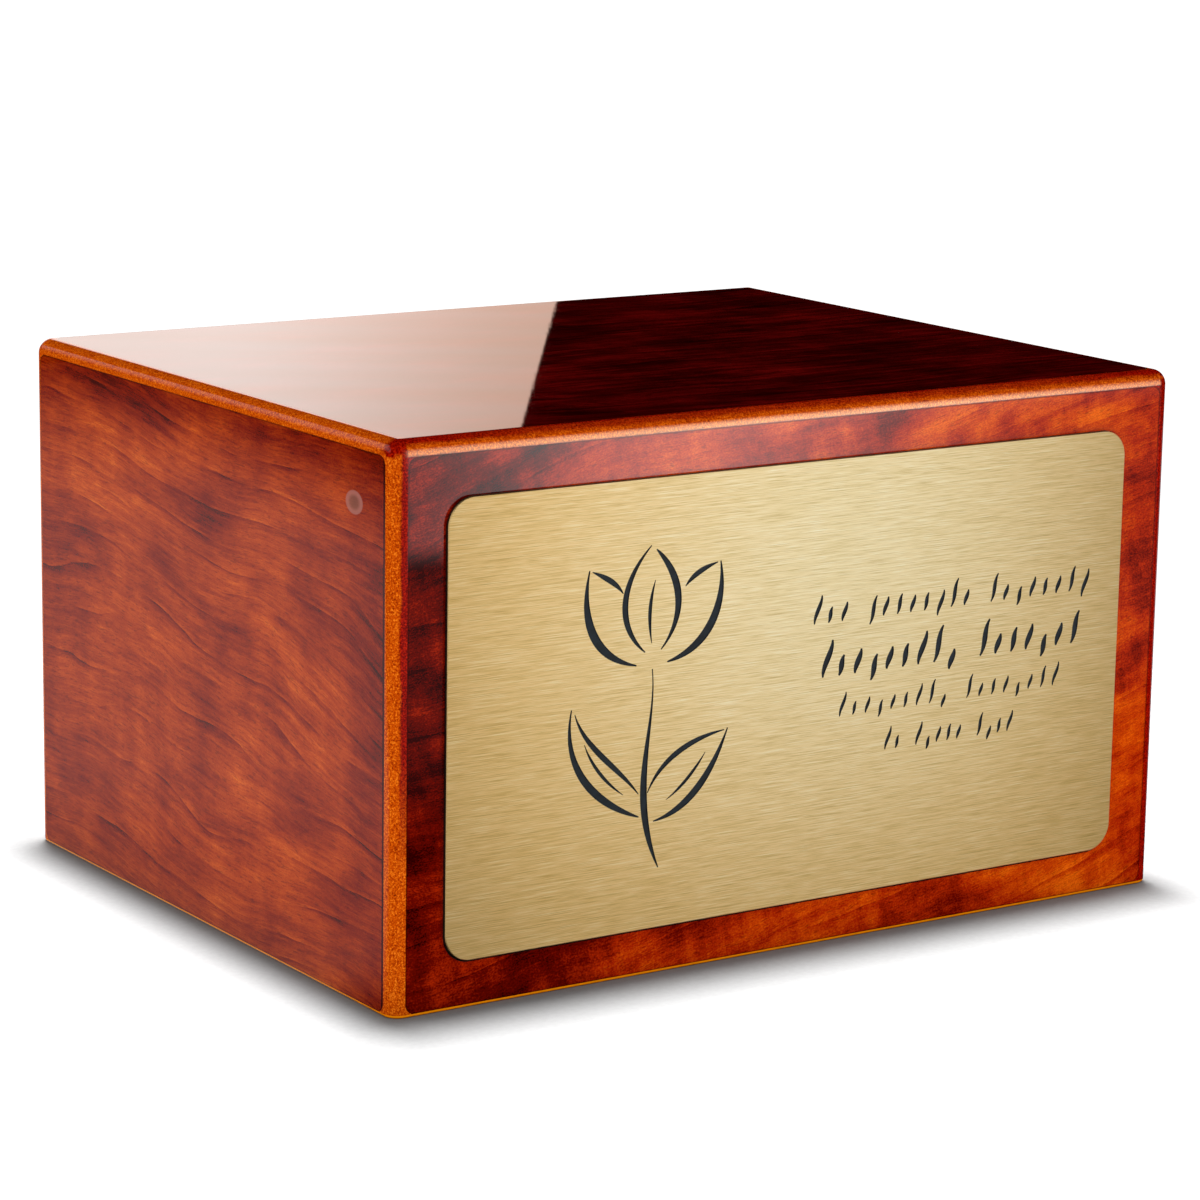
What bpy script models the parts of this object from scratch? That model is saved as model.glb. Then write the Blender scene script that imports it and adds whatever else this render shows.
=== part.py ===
"""Cremation urn box: a glued fibreboard case, closed from below by a screwed base, with an engraved
plate on its front.

Lengths are metres. +X is the viewer's right, +Y the back and +Z up. The origin is at the middle of the
case's underside.
"""

import math

import bmesh
import bpy
from mathutils import Matrix, Vector
from mathutils.geometry import interpolate_bezier

# Case
CASE_WIDTH = 0.216
CASE_DEPTH = 0.1725
CASE_HEIGHT = 0.127
BOARD_THICKNESS = 0.012
EDGE_RADIUS = 0.0036
EDGE_SEGMENTS = 4
FOOT_RADIUS = 0.0009
FOOT_SEGMENTS = 2
GLUE_GAP = 0.0003

# Base board, flush with the case's underside inside a lip
BASE_THICKNESS = 0.006
CASE_LIP = 0.003
BASE_CLEARANCE = 0.0003
BASE_CHAMFER = 0.0004

# Base screws
SCREW_LENGTH = 0.020
SCREW_DIAMETER = 0.003
SCREW_POINT = 0.003
SCREW_HEAD_DIAMETER = 0.0056
SCREW_HEAD_RIM = 0.0003
SCREW_SINK = 0.0004
SCREW_FROM_SIDE = 0.030
SCREW_CLEARANCE = 0.0003
SCREW_SIDES = 16
RECESS_SPAN = 0.0030
RECESS_SLOT = 0.0007
RECESS_DEPTH = 0.0010

# Name plate
PLAQUE_THICKNESS = 0.0008
PLAQUE_CORNER_RADIUS = 0.0065
PLAQUE_CORNER_SEGMENTS = 8
PLAQUE_SIDE_MARGIN = 0.0138
PLAQUE_END_MARGIN = 0.01205
PLAQUE_SHIFT_X = -0.0009
PLAQUE_SHIFT_Z = -0.00095
PLAQUE_GAP = 0.0003
ENGRAVING_DEPTH = 0.00025

# Flower, drawn on the plate's left
FLOWER_MARGIN = 0.014
FLOWER_FROM_LEFT = 0.0515
FLOWER_SEGMENTS = 9

# Inscription rows, on the plate's right
INSCRIPTION_FROM_LEFT = 0.0976
INSCRIPTION_FROM_RIGHT = 0.0118
INSCRIPTION_LIFT = 0.001
ROW_SPACE = 0.0041
STROKE_SEGMENTS = 3

# How far a cutter reaches past the face that it opens
OVERCUT = 0.002

# Each stroke of the flower: its two ends and two handles, in shares of the flower's height, from the foot
# of the stem, then its greatest width in metres and where along it that lies
FLOWER_STROKES = (
    ((-0.005, 0.665), (-0.115, 0.755), (-0.095, 0.885), (0.012, 0.985), 0.00115, 0.45),
    ((0.030, 0.972), (0.128, 0.880), (0.140, 0.760), (0.052, 0.668), 0.00135, 0.40),
    ((0.018, 0.690), (0.004, 0.760), (0.008, 0.820), (0.028, 0.880), 0.00070, 0.50),
    ((-0.205, 0.930), (-0.235, 0.800), (-0.200, 0.665), (-0.035, 0.628), 0.00155, 0.55),
    ((-0.195, 0.925), (-0.150, 0.905), (-0.110, 0.885), (-0.086, 0.850), 0.00095, 0.50),
    ((0.075, 0.628), (0.230, 0.655), (0.285, 0.790), (0.262, 0.915), 0.00155, 0.45),
    ((0.252, 0.912), (0.200, 0.900), (0.160, 0.880), (0.136, 0.850), 0.00095, 0.50),
    ((0.022, 0.612), (0.045, 0.430), (-0.065, 0.250), (0.055, 0.000), 0.00135, 0.70),
    ((-0.018, 0.165), (-0.155, 0.215), (-0.300, 0.330), (-0.262, 0.520), 0.00135, 0.45),
    ((-0.250, 0.505), (-0.215, 0.395), (-0.095, 0.330), (-0.020, 0.235), 0.00100, 0.50),
    ((-0.075, 0.240), (-0.140, 0.285), (-0.190, 0.345), (-0.215, 0.410), 0.00060, 0.50),
    ((0.035, 0.145), (0.150, 0.160), (0.240, 0.250), (0.300, 0.400), 0.00135, 0.50),
    ((0.288, 0.395), (0.180, 0.385), (0.060, 0.340), (0.012, 0.235), 0.00100, 0.50),
    ((0.080, 0.205), (0.135, 0.235), (0.185, 0.285), (0.220, 0.335), 0.00060, 0.50),
)
FLOWER_TIP = 0.16

# Each inscription row: its tall strokes' height and their width in metres, its length as a share of the
# longest row's, and how many strokes each group has
INSCRIPTION_ROWS = (
    (0.0066, 0.00090, 1.00, (3, 8, 8)),
    (0.0086, 0.00125, 0.93, (9, 7)),
    (0.0056, 0.00075, 0.80, (9, 8)),
    (0.0054, 0.00075, 0.46, (2, 5, 4)),
)
STROKE_HEIGHTS = (1.0, 0.62, 0.70, 0.55, 0.90, 0.60, 0.66)
STROKE_LEAN = 0.30
STROKE_BOW = 0.12
STROKE_TIP = 0.30
STROKE_DROP = 0.25
DROPPED_STROKE_EVERY = 5

# Finishes: sRGB colour, roughness and metallic value
LACQUERED_CHERRY = ("8E2F18", 0.08, 0.0)
RAW_FIBREBOARD = ("9A7A56", 0.75, 0.0)
BRUSHED_GOLD = ("C9B37C", 0.32, 1.0)
ZINC_PLATED_STEEL = ("B9B7AE", 0.30, 1.0)


def clear_scene():
    """Removes what the file opened with."""
    for thing in list(bpy.data.objects):
        bpy.data.objects.remove(thing, do_unlink=True)


def linear(channel):
    """Turns one sRGB channel, from 0 to 1, to linear light."""
    return channel / 12.92 if channel <= 0.04045 else ((channel + 0.055) / 1.055) ** 2.4


def finish(name, look):
    """Makes one Principled material from a sRGB colour, a roughness and a metallic value."""
    colour, roughness, metallic = look
    channels = [linear(int(colour[at : at + 2], 16) / 255) for at in (0, 2, 4)]
    material = bpy.data.materials.new(name)
    material.use_nodes = True
    shader = material.node_tree.nodes["Principled BSDF"]
    shader.inputs["Base Color"].default_value = (*channels, 1.0)
    shader.inputs["Roughness"].default_value = roughness
    shader.inputs["Metallic"].default_value = metallic
    return material


def add_object(name, bm, parent):
    """Turns an edited mesh into an object under its parent."""
    bmesh.ops.recalc_face_normals(bm, faces=bm.faces)
    mesh = bpy.data.meshes.new(name)
    bm.to_mesh(mesh)
    bm.free()
    thing = bpy.data.objects.new(name, mesh)
    bpy.context.scene.collection.objects.link(thing)
    thing.parent = parent
    return thing


def add_piece(name, bm, parent, look):
    """Adds one physical piece with its own finish."""
    piece = add_object(name, bm, parent)
    piece.data.materials.append(finish(f"{name}_finish", look))
    return piece


def add_cutter(name, bm, parent):
    """Adds a shape that only cuts others."""
    cutter = add_object(name, bm, parent)
    cutter.hide_render = True
    cutter.display_type = "WIRE"
    return cutter


def carve(piece, cutter, operation="DIFFERENCE"):
    """Cuts the piece by the cutter, or keeps only what both hold."""
    modifier = piece.modifiers.new(f"{operation.lower()}_{cutter.name}", "BOOLEAN")
    modifier.operation = operation
    modifier.solver = "EXACT"
    modifier.object = cutter


def block(size_x, size_y, low, high):
    """A block that is centred on the Z axis and reaches from low to high."""
    bm = bmesh.new()
    place = Matrix.LocRotScale((0, 0, (low + high) / 2), None, (size_x, size_y, high - low))
    bmesh.ops.create_cube(bm, size=1.0, matrix=place)
    return bm


def edges_at(bm, test):
    """The edges whose two ends both pass the test."""
    return [edge for edge in bm.edges if all(test(vertex.co) for vertex in edge.verts)]


def round_edges(bm, edges, radius, segments):
    """Rounds the edges to an arc of the radius."""
    bmesh.ops.bevel(
        bm, geom=edges, offset=radius, offset_type="OFFSET", segments=segments, profile=0.5, affect="EDGES"
    )


def prism(bm, outline, low, high):
    """Adds a closed upright prism over an outline of XY points to the mesh."""
    face = bm.faces.new([bm.verts.new((x, y, low)) for x, y in outline])
    grown = bmesh.ops.extrude_face_region(bm, geom=[face], use_keep_orig=True)
    top = [item for item in grown["geom"] if isinstance(item, bmesh.types.BMVert)]
    bmesh.ops.translate(bm, vec=(0, 0, high - low), verts=top)


def turned(profile, sides):
    """A closed solid turned round the Z axis from (radius, height) points, both ends on the axis."""
    bm = bmesh.new()
    points = [bm.verts.new((radius, 0, height)) for radius, height in profile]
    edges = [bm.edges.new(pair) for pair in zip(points, points[1:])]
    bmesh.ops.spin(
        bm, geom=points + edges, axis=(0, 0, 1), cent=(0, 0, 0), angle=math.tau, steps=sides, use_merge=True
    )
    bmesh.ops.remove_doubles(bm, verts=bm.verts, dist=1e-7)
    return bm


def case_blank():
    """The whole case as one solid: round top and upright edges, and a small easing round the foot."""
    bm = block(CASE_WIDTH, CASE_DEPTH, 0, CASE_HEIGHT)
    top = edges_at(bm, lambda place: place.z > CASE_HEIGHT / 2)
    upright = [edge for edge in bm.edges if abs(edge.verts[0].co.z - edge.verts[1].co.z) > CASE_HEIGHT / 2]
    round_edges(bm, top + upright, EDGE_RADIUS, EDGE_SEGMENTS)
    foot = edges_at(bm, lambda place: place.z < FOOT_RADIUS / 2)
    round_edges(bm, foot, FOOT_RADIUS, FOOT_SEGMENTS)
    return bm


def mitre_wedge(outward, across, reach, half_length, low, high, low_is_mitred):
    """The block that one board keeps of the case: mitred at 45 degrees, half a glue gap off each joint."""
    outward = Vector(outward)
    across = Vector(across)
    up = outward.cross(across)
    bm = bmesh.new()
    for depth in (-OVERCUT, BOARD_THICKNESS):
        inset = depth + GLUE_GAP / math.sqrt(2)
        bottom = low + inset if low_is_mitred else low
        for side in (-1, 1):
            for height in (bottom, high - inset):
                bm.verts.new(
                    outward * (reach - depth) + across * side * (half_length - inset) + up * height
                )
    bmesh.ops.convex_hull(bm, input=bm.verts)
    return bm


def add_boards(parent, rebate, bores):
    """The five glued boards: the wedge that each keeps, the base's rebate, and the screws' pilot bores."""
    half_width, half_depth = CASE_WIDTH / 2, CASE_DEPTH / 2
    walls = (
        ("front_panel", (0, -1, 0), (1, 0, 0), half_depth, half_width),
        ("back_panel", (0, 1, 0), (-1, 0, 0), half_depth, half_width),
        ("left_panel", (-1, 0, 0), (0, -1, 0), half_width, half_depth),
        ("right_panel", (1, 0, 0), (0, 1, 0), half_width, half_depth),
    )
    for name, outward, across, reach, half_length in walls:
        wedge = mitre_wedge(outward, across, reach, half_length, -OVERCUT, CASE_HEIGHT, False)
        board = add_piece(name, case_blank(), parent, LACQUERED_CHERRY)
        carve(board, add_cutter(f"{name}_wedge", wedge, parent), "INTERSECT")
        carve(board, rebate)
        if name in ("front_panel", "back_panel"):
            for bore in bores:
                carve(board, bore)
    wedge = mitre_wedge((0, 0, 1), (1, 0, 0), CASE_HEIGHT, half_width, -half_depth, half_depth, True)
    top = add_piece("top_panel", case_blank(), parent, LACQUERED_CHERRY)
    carve(top, add_cutter("top_panel_wedge", wedge, parent), "INTERSECT")


def add_rebate(parent):
    """The recess in the case's underside that takes the base."""
    opening = block(
        CASE_WIDTH - 2 * CASE_LIP, CASE_DEPTH - 2 * CASE_LIP, -OVERCUT, BASE_THICKNESS + BASE_CLEARANCE
    )
    return add_cutter("base_rebate", opening, parent)


def screw_places():
    """Name and place of each base screw: in the front and back boards, midway between lip and inside."""
    row = CASE_DEPTH / 2 - (CASE_LIP + BOARD_THICKNESS) / 2
    column = CASE_WIDTH / 2 - SCREW_FROM_SIDE
    corners = [(x, y) for y in (-row, row) for x in (-column, column)]
    return [(f"base_screw_{number}", (x, y, 0)) for number, (x, y) in enumerate(corners, start=1)]


def screw_profile(clearance, mouth, tip):
    """Half outline of a screw, or with a clearance of its bore, from the mouth up to the tip."""
    head = SCREW_HEAD_DIAMETER / 2 + clearance
    shank = SCREW_DIAMETER / 2 + clearance
    cone = SCREW_SINK + SCREW_HEAD_RIM
    neck = cone + (SCREW_HEAD_DIAMETER - SCREW_DIAMETER) / 2
    end = SCREW_SINK + SCREW_LENGTH
    return [(0, mouth), (head, mouth), (head, cone), (shank, neck), (shank, end - SCREW_POINT), (0, end + tip)]


def add_screw_bores(parent):
    """One countersunk clearance bore for each base screw, through the base and up into the board."""
    bores = []
    for name, place in screw_places():
        profile = screw_profile(SCREW_CLEARANCE, -OVERCUT, SCREW_CLEARANCE)
        bore = add_cutter(f"{name}_bore", turned(profile, SCREW_SIDES), parent)
        bore.location = place
        bores.append(bore)
    return bores


def cross_outline():
    """Outline of the cross recess in a screw's head."""
    arm, slot = RECESS_SPAN / 2, RECESS_SLOT / 2
    quarter = [Vector((arm, -slot)), Vector((arm, slot)), Vector((slot, slot))]
    return [Matrix.Rotation(math.tau * turn / 4, 2) @ point for turn in range(4) for point in quarter]


def add_screws(parent):
    """The four countersunk screws that hold the base, heads down and just under its face."""
    for name, place in screw_places():
        screw = add_piece(name, turned(screw_profile(0, SCREW_SINK, 0), SCREW_SIDES), parent, ZINC_PLATED_STEEL)
        screw.location = place
        cross = bmesh.new()
        prism(cross, cross_outline(), SCREW_SINK - OVERCUT, SCREW_SINK + RECESS_DEPTH)
        carve(screw, add_cutter(f"{name}_recess", cross, screw))


def add_base(parent, bores):
    """The base board, with its lower edges chamfered and a bore for each screw."""
    inset = 2 * (CASE_LIP + BASE_CLEARANCE)
    bm = block(CASE_WIDTH - inset, CASE_DEPTH - inset, 0, BASE_THICKNESS)
    round_edges(bm, edges_at(bm, lambda place: place.z < BASE_THICKNESS / 2), BASE_CHAMFER, 1)
    base = add_piece("bottom_panel", bm, parent, RAW_FIBREBOARD)
    for bore in bores:
        carve(base, bore)


def rounded_rectangle(width, height, radius, segments):
    """Outline of a rectangle with round corners, centred on the origin."""
    outline = []
    for quarter, (side, end) in enumerate(((1, 1), (-1, 1), (-1, -1), (1, -1))):
        centre = Vector((side * (width / 2 - radius), end * (height / 2 - radius)))
        for step in range(segments + 1):
            angle = (quarter + step / segments) * math.pi / 2
            outline.append(centre + radius * Vector((math.cos(angle), math.sin(angle))))
    return outline


def brush_stroke(handles, width, heaviest, tip, segments):
    """Outline of a stroke along a curve, which swells to its width and thins to a share of it at its tips."""
    start, leave, arrive, end = (Vector(handle) for handle in handles)
    spine = interpolate_bezier(start, leave, arrive, end, segments + 1)
    power = math.log(0.5) / math.log(heaviest)
    left, right = [], []
    for step, point in enumerate(spine):
        ahead = spine[min(step + 1, segments)] - spine[max(step - 1, 0)]
        swell = tip + (1 - tip) * math.sin(math.pi * (step / segments) ** power)
        side = Vector((-ahead.y, ahead.x)).normalized() * width * swell / 2
        left.append(point + side)
        right.append(point - side)
    return left + right[::-1]


def flower_outlines(plaque_width, plaque_height):
    """The strokes of a flower with two leaves, at its place on the plate."""
    height = plaque_height - 2 * FLOWER_MARGIN
    foot = Vector((FLOWER_FROM_LEFT - plaque_width / 2, FLOWER_MARGIN - plaque_height / 2))
    outlines = []
    for *handles, width, heaviest in FLOWER_STROKES:
        placed = [foot + Vector(handle) * height for handle in handles]
        outlines.append(brush_stroke(placed, width, heaviest, FLOWER_TIP, FLOWER_SEGMENTS))
    return outlines


def inscription_outlines(plaque_width):
    """Rows of leaning strokes in groups, centred under each other, in place of an inscription."""
    longest = plaque_width - INSCRIPTION_FROM_LEFT - INSCRIPTION_FROM_RIGHT
    centre = (INSCRIPTION_FROM_LEFT - INSCRIPTION_FROM_RIGHT) / 2
    tall = sum(row[0] for row in INSCRIPTION_ROWS) + ROW_SPACE * (len(INSCRIPTION_ROWS) - 1)
    foot = INSCRIPTION_LIFT + tall / 2
    outlines = []
    for cap_height, width, share, groups in INSCRIPTION_ROWS:
        foot -= cap_height
        pitch = longest * share / (sum(groups) + len(groups) - 2)
        place = centre - longest * share / 2
        count = 0
        for group, strokes in enumerate(groups):
            for first in range(strokes):
                height = cap_height * (STROKE_HEIGHTS[(3 * count + group) % len(STROKE_HEIGHTS)] if first else 1)
                outlines.append(leaning_stroke(place, foot, height, cap_height, width, count))
                place += pitch
                count += 1
            place += pitch
        foot -= ROW_SPACE
    return outlines


def leaning_stroke(place, foot, height, cap_height, width, count):
    """One stroke of the inscription: it leans right, bows one way or the other, and every fifth hangs low."""
    if count % DROPPED_STROKE_EVERY == DROPPED_STROKE_EVERY - 2:
        foot -= STROKE_DROP * cap_height
    bow = STROKE_BOW * height * (1 if count % 2 else -1)
    lean = STROKE_LEAN * height
    handles = (
        (place, foot),
        (place + lean / 3 + bow, foot + height / 3),
        (place + 2 * lean / 3 - bow, foot + 2 * height / 3),
        (place + lean, foot + height),
    )
    return brush_stroke(handles, width, 0.5, STROKE_TIP, STROKE_SEGMENTS)


def add_plaque(parent):
    """The engraved plate. It is drawn flat, then stood against the front with its face outwards."""
    width = CASE_WIDTH - 2 * PLAQUE_SIDE_MARGIN
    height = CASE_HEIGHT - 2 * PLAQUE_END_MARGIN
    bm = bmesh.new()
    prism(bm, rounded_rectangle(width, height, PLAQUE_CORNER_RADIUS, PLAQUE_CORNER_SEGMENTS), 0, PLAQUE_THICKNESS)
    plaque = add_piece("name_plaque", bm, parent, BRUSHED_GOLD)
    plaque.rotation_euler = (math.pi / 2, 0, 0)
    plaque.location = (PLAQUE_SHIFT_X, -CASE_DEPTH / 2 - PLAQUE_GAP, CASE_HEIGHT / 2 + PLAQUE_SHIFT_Z)
    grooves = bmesh.new()
    for outline in flower_outlines(width, height) + inscription_outlines(width):
        prism(grooves, outline, PLAQUE_THICKNESS - ENGRAVING_DEPTH, PLAQUE_THICKNESS + OVERCUT)
    carve(plaque, add_cutter("engraving", grooves, plaque))


def main():
    """Builds the urn box under one empty."""
    clear_scene()
    urn = bpy.data.objects.new("urn_box", None)
    bpy.context.scene.collection.objects.link(urn)
    bores = add_screw_bores(urn)
    add_boards(urn, add_rebate(urn), bores)
    add_base(urn, bores)
    add_screws(urn)
    add_plaque(urn)


main()
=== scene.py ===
"""Looks of the cremation urn box: a foil-wrapped, lacquered case with an engraved plate on its front.

Lengths are metres in the row frame: +X is the viewer's right, +Y the back and +Z up. Patterns are laid out in
millimetres on the surface.
"""

import logging
import math
from collections.abc import Callable, Iterator
from contextlib import contextmanager
from dataclasses import dataclass, field
from enum import Enum
from typing import Any

import bmesh
import bpy
from mathutils import Matrix, Vector
from mathutils.geometry import interpolate_bezier


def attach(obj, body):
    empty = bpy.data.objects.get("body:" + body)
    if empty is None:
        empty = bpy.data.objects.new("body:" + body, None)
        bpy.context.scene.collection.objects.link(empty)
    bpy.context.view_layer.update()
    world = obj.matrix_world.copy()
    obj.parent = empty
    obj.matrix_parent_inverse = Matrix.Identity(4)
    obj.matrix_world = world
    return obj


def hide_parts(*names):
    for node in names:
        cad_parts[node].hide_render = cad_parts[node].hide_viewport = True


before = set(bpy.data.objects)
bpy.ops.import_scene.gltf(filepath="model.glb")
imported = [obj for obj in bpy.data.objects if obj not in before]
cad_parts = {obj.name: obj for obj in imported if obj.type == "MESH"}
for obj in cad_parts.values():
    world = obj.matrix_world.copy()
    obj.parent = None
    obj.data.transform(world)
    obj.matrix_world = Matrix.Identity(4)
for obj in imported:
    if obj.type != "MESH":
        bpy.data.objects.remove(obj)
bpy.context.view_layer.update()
log = logging.getLogger("urn_box")

Tree = bpy.types.NodeTree
Socket = bpy.types.NodeSocket
Triple = tuple[float, float, float]

# The case's sizes, which every class shares
CASE_WIDTH = 0.216
CASE_DEPTH = 0.1725
CASE_HEIGHT = 0.127
BOARD_THICKNESS = 0.012
EDGE_RADIUS = 0.0036
FOOT_RADIUS = 0.0009
# The height at which the foil ends above the floor
FOIL_FOOT = 0.00085

# Millimetres in a metre
MM = 1000.0
# How far off its place a face or an edge still counts as there
TOUCH = 1e-5
# The cosine past which a face counts as facing a direction squarely
SQUARE_ON = 0.9999

# A colour Mix node's inputs by number, because their names repeat, and settings that many nodes share
MIX_A = 6
MIX_B = 7
BLEND = {"output": 2, "data_type": "RGBA"}
SOFT = {"interpolation_type": "SMOOTHSTEP"}


class Slot(Enum):
    """The record's material slots for new pieces; this script gives no piece one."""

    CHERRY = "lacquered_cherry"
    GOLD = "brushed_gold"


class Side(Enum):
    """The case's flat faces, by the direction that each one faces."""

    FRONT = (0, -1, 0)
    BACK = (0, 1, 0)
    LEFT = (-1, 0, 0)
    RIGHT = (1, 0, 0)
    TOP = (0, 0, 1)


# Colour and nodes


def linear(colour: str) -> tuple[float, float, float, float]:
    """Turns a sRGB hex colour to linear light.

    Args:
        colour: Six hex digits.

    Returns:
        Red, green, blue and an alpha of one.
    """
    shares = [int(colour[at : at + 2], 16) / 255 for at in (0, 2, 4)]
    lights = [share / 12.92 if share <= 0.04045 else ((share + 0.055) / 1.055) ** 2.4 for share in shares]
    return (*lights, 1.0)


def wire(
    tree: Tree,
    kind: str,
    inputs: dict | None = None,
    output: str | int = 0,
    stops: dict[float, str] | None = None,
    **settings: Any,
) -> Any:
    """Adds a node with its settings and links.

    Args:
        tree: The node tree that takes it.
        kind: The node's type, without its "ShaderNode".
        inputs: For each input, by name or number, its value or the output that feeds it.
        output: The output to hand back, by name or number.
        stops: A colour ramp's hex colour for each place from 0 to 1, in rising order.
        settings: The node's own settings.

    Returns:
        One of the new node's outputs, or the node where it has none.
    """
    made = tree.nodes.new(f"ShaderNode{kind}")
    for name, value in settings.items():
        setattr(made, name, value)
    if stops:
        elements = made.color_ramp.elements
        while len(elements) < len(stops):
            elements.new(0.5)
        for element, (place, shade) in zip(elements, stops.items()):
            element.position = place
            element.color = linear(shade)
    for key, value in (inputs or {}).items():
        if isinstance(value, Socket):
            tree.links.new(value, made.inputs[key])
        else:
            made.inputs[key].default_value = value
    return made.outputs[output] if len(made.outputs) else made


def between(value: Socket, start: float, end: float, low: float = 0.0, high: float = 1.0) -> dict[str, Any]:
    """Names a Map Range node's inputs: it goes from low at the start to high at the end."""
    return {"Value": value, "From Min": start, "From Max": end, "To Min": low, "To Max": high}


def chain(tree: Tree, operation: str, *values: Socket | float) -> Socket:
    """Runs one operation over several values, such as their least or their product.

    Args:
        tree: The node tree.
        operation: The operation's name on a Math node.
        values: Two values or more.

    Returns:
        The result.
    """
    result = values[0]
    for value in values[1:]:
        result = wire(tree, "Math", {0: result, 1: value}, operation=operation)
    return result


def new_material(name: str) -> tuple[bpy.types.Material, Tree]:
    """Makes a material whose node tree is empty.

    Args:
        name: The finish's name.

    Returns:
        The material and its node tree.
    """
    material = bpy.data.materials.new(name)
    material.use_nodes = True
    material.node_tree.nodes.clear()
    return material, material.node_tree


# Modelling by operators


def deselect() -> None:
    """Leaves nothing selected."""
    bpy.ops.object.select_all(action="DESELECT")


def add_block(name: str, low: Vector, high: Vector) -> bpy.types.Object:
    """Adds a block between two corners, with its place in its mesh.

    Args:
        name: The object's name.
        low: Its lowest corner.
        high: Its highest corner.

    Returns:
        The block.
    """
    deselect()
    bpy.ops.mesh.primitive_cube_add(size=1.0, location=(low + high) / 2)
    block = bpy.context.object
    block.name = name
    block.scale = high - low
    bpy.ops.object.transform_apply(location=True, rotation=True, scale=True)
    return block


@contextmanager
def shaping(piece: bpy.types.Object, mode: str) -> Iterator[None]:
    """Opens a piece in edit mode with nothing selected, and closes it again.

    Args:
        piece: The piece to shape.
        mode: What is selected there: VERT, EDGE or FACE.
    """
    deselect()
    piece.select_set(True)
    bpy.context.view_layer.objects.active = piece
    bpy.ops.object.mode_set(mode="EDIT")
    bpy.ops.mesh.select_mode(type=mode)
    bpy.ops.mesh.select_all(action="DESELECT")
    yield
    bpy.ops.object.mode_set(mode="OBJECT")


def pick(piece: bpy.types.Object, kind: str, test: Callable[[Any], bool]) -> None:
    """Selects what passes a test, on a piece in edit mode.

    Args:
        piece: The piece in edit mode.
        kind: verts, edges or faces.
        test: Says whether one of them is selected.
    """
    shape = bmesh.from_edit_mesh(piece.data)
    for item in getattr(shape, kind):
        item.select_set(test(item))
    bmesh.update_edit_mesh(piece.data)


def bevel(offset: float, segments: int = 1) -> None:
    """Bevels the selected edges as far as the offset, to a round where it takes several segments."""
    bpy.ops.mesh.bevel(offset=offset, segments=segments, profile=0.5, clamp_overlap=False)


def cut(piece: bpy.types.Object, cutter: bpy.types.Object, own_overlaps: bool = False) -> None:
    """Takes a cutter's shape out of a piece, and deletes the cutter.

    Args:
        piece: The piece to cut.
        cutter: The closed shape to take out of it.
        own_overlaps: Whether the cutter's parts run into each other.
    """
    deselect()
    bpy.context.view_layer.objects.active = piece
    modifier = piece.modifiers.new("cut", "BOOLEAN")
    modifier.operation = "DIFFERENCE"
    modifier.solver = "EXACT"
    modifier.use_self = own_overlaps
    modifier.object = cutter
    bpy.ops.object.modifier_apply(modifier=modifier.name)
    bpy.data.objects.remove(cutter)


def smooth(piece: bpy.types.Object, angle: float = 30.0) -> None:
    """Shades a piece smooth over its rounded edges, while its flats keep the light of a true plane.

    Args:
        piece: The piece to shade.
        angle: The sharpest bend in degrees that is still smooth.
    """
    deselect()
    piece.select_set(True)
    bpy.context.view_layer.objects.active = piece
    bpy.ops.object.shade_smooth_by_angle(angle=math.radians(angle))
    modifier = piece.modifiers.new("flats", "WEIGHTED_NORMAL")
    modifier.weight = 100
    modifier.keep_sharp = True
    bpy.ops.object.modifier_apply(modifier=modifier.name)


# Finishes


@dataclass(frozen=True)
class EdgeMargin:
    """Where the foil ends: a rectangle with rounded corners on each face, within the rounded edges."""

    corner: float = 0.0024

    def distance(self, tree: Tree, place: Socket) -> Socket:
        """How far a point lies past the foil's outline, in millimetres, and less than nothing on the foil.

        Args:
            tree: The node tree.
            place: The point in metres.

        Returns:
            The distance.
        """
        reach_z = (CASE_HEIGHT - EDGE_RADIUS - FOIL_FOOT) / 2
        centre = (0, 0, reach_z + FOIL_FOOT)
        reach = Vector((CASE_WIDTH / 2 - EDGE_RADIUS, CASE_DEPTH / 2 - EDGE_RADIUS, reach_z))
        inner = reach - Vector([self.corner] * 3)
        centred = wire(tree, "VectorMath", {0: place, 1: centre}, operation="SUBTRACT")
        mirrored = wire(tree, "VectorMath", {0: centred}, operation="ABSOLUTE")
        past = wire(tree, "VectorMath", {0: mirrored, 1: inner}, operation="SUBTRACT")
        past = wire(tree, "VectorMath", {0: past, 1: (0, 0, 0)}, operation="MAXIMUM")
        squares = wire(tree, "VectorMath", {0: past, 1: past}, output="Value", operation="DOT_PRODUCT")
        largest = chain(tree, "MAXIMUM", *wire(tree, "SeparateXYZ", {0: past}).node.outputs)
        out_of_plane = wire(tree, "Math", {0: largest, 1: largest}, operation="MULTIPLY")
        in_plane = wire(tree, "Math", {0: squares, 1: out_of_plane}, operation="SUBTRACT")
        in_plane = wire(tree, "Math", {0: in_plane}, operation="SQRT")
        metres = wire(tree, "Math", {0: in_plane, 1: self.corner}, operation="SUBTRACT")
        return wire(tree, "Math", {0: metres, 1: MM}, operation="MULTIPLY")


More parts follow.
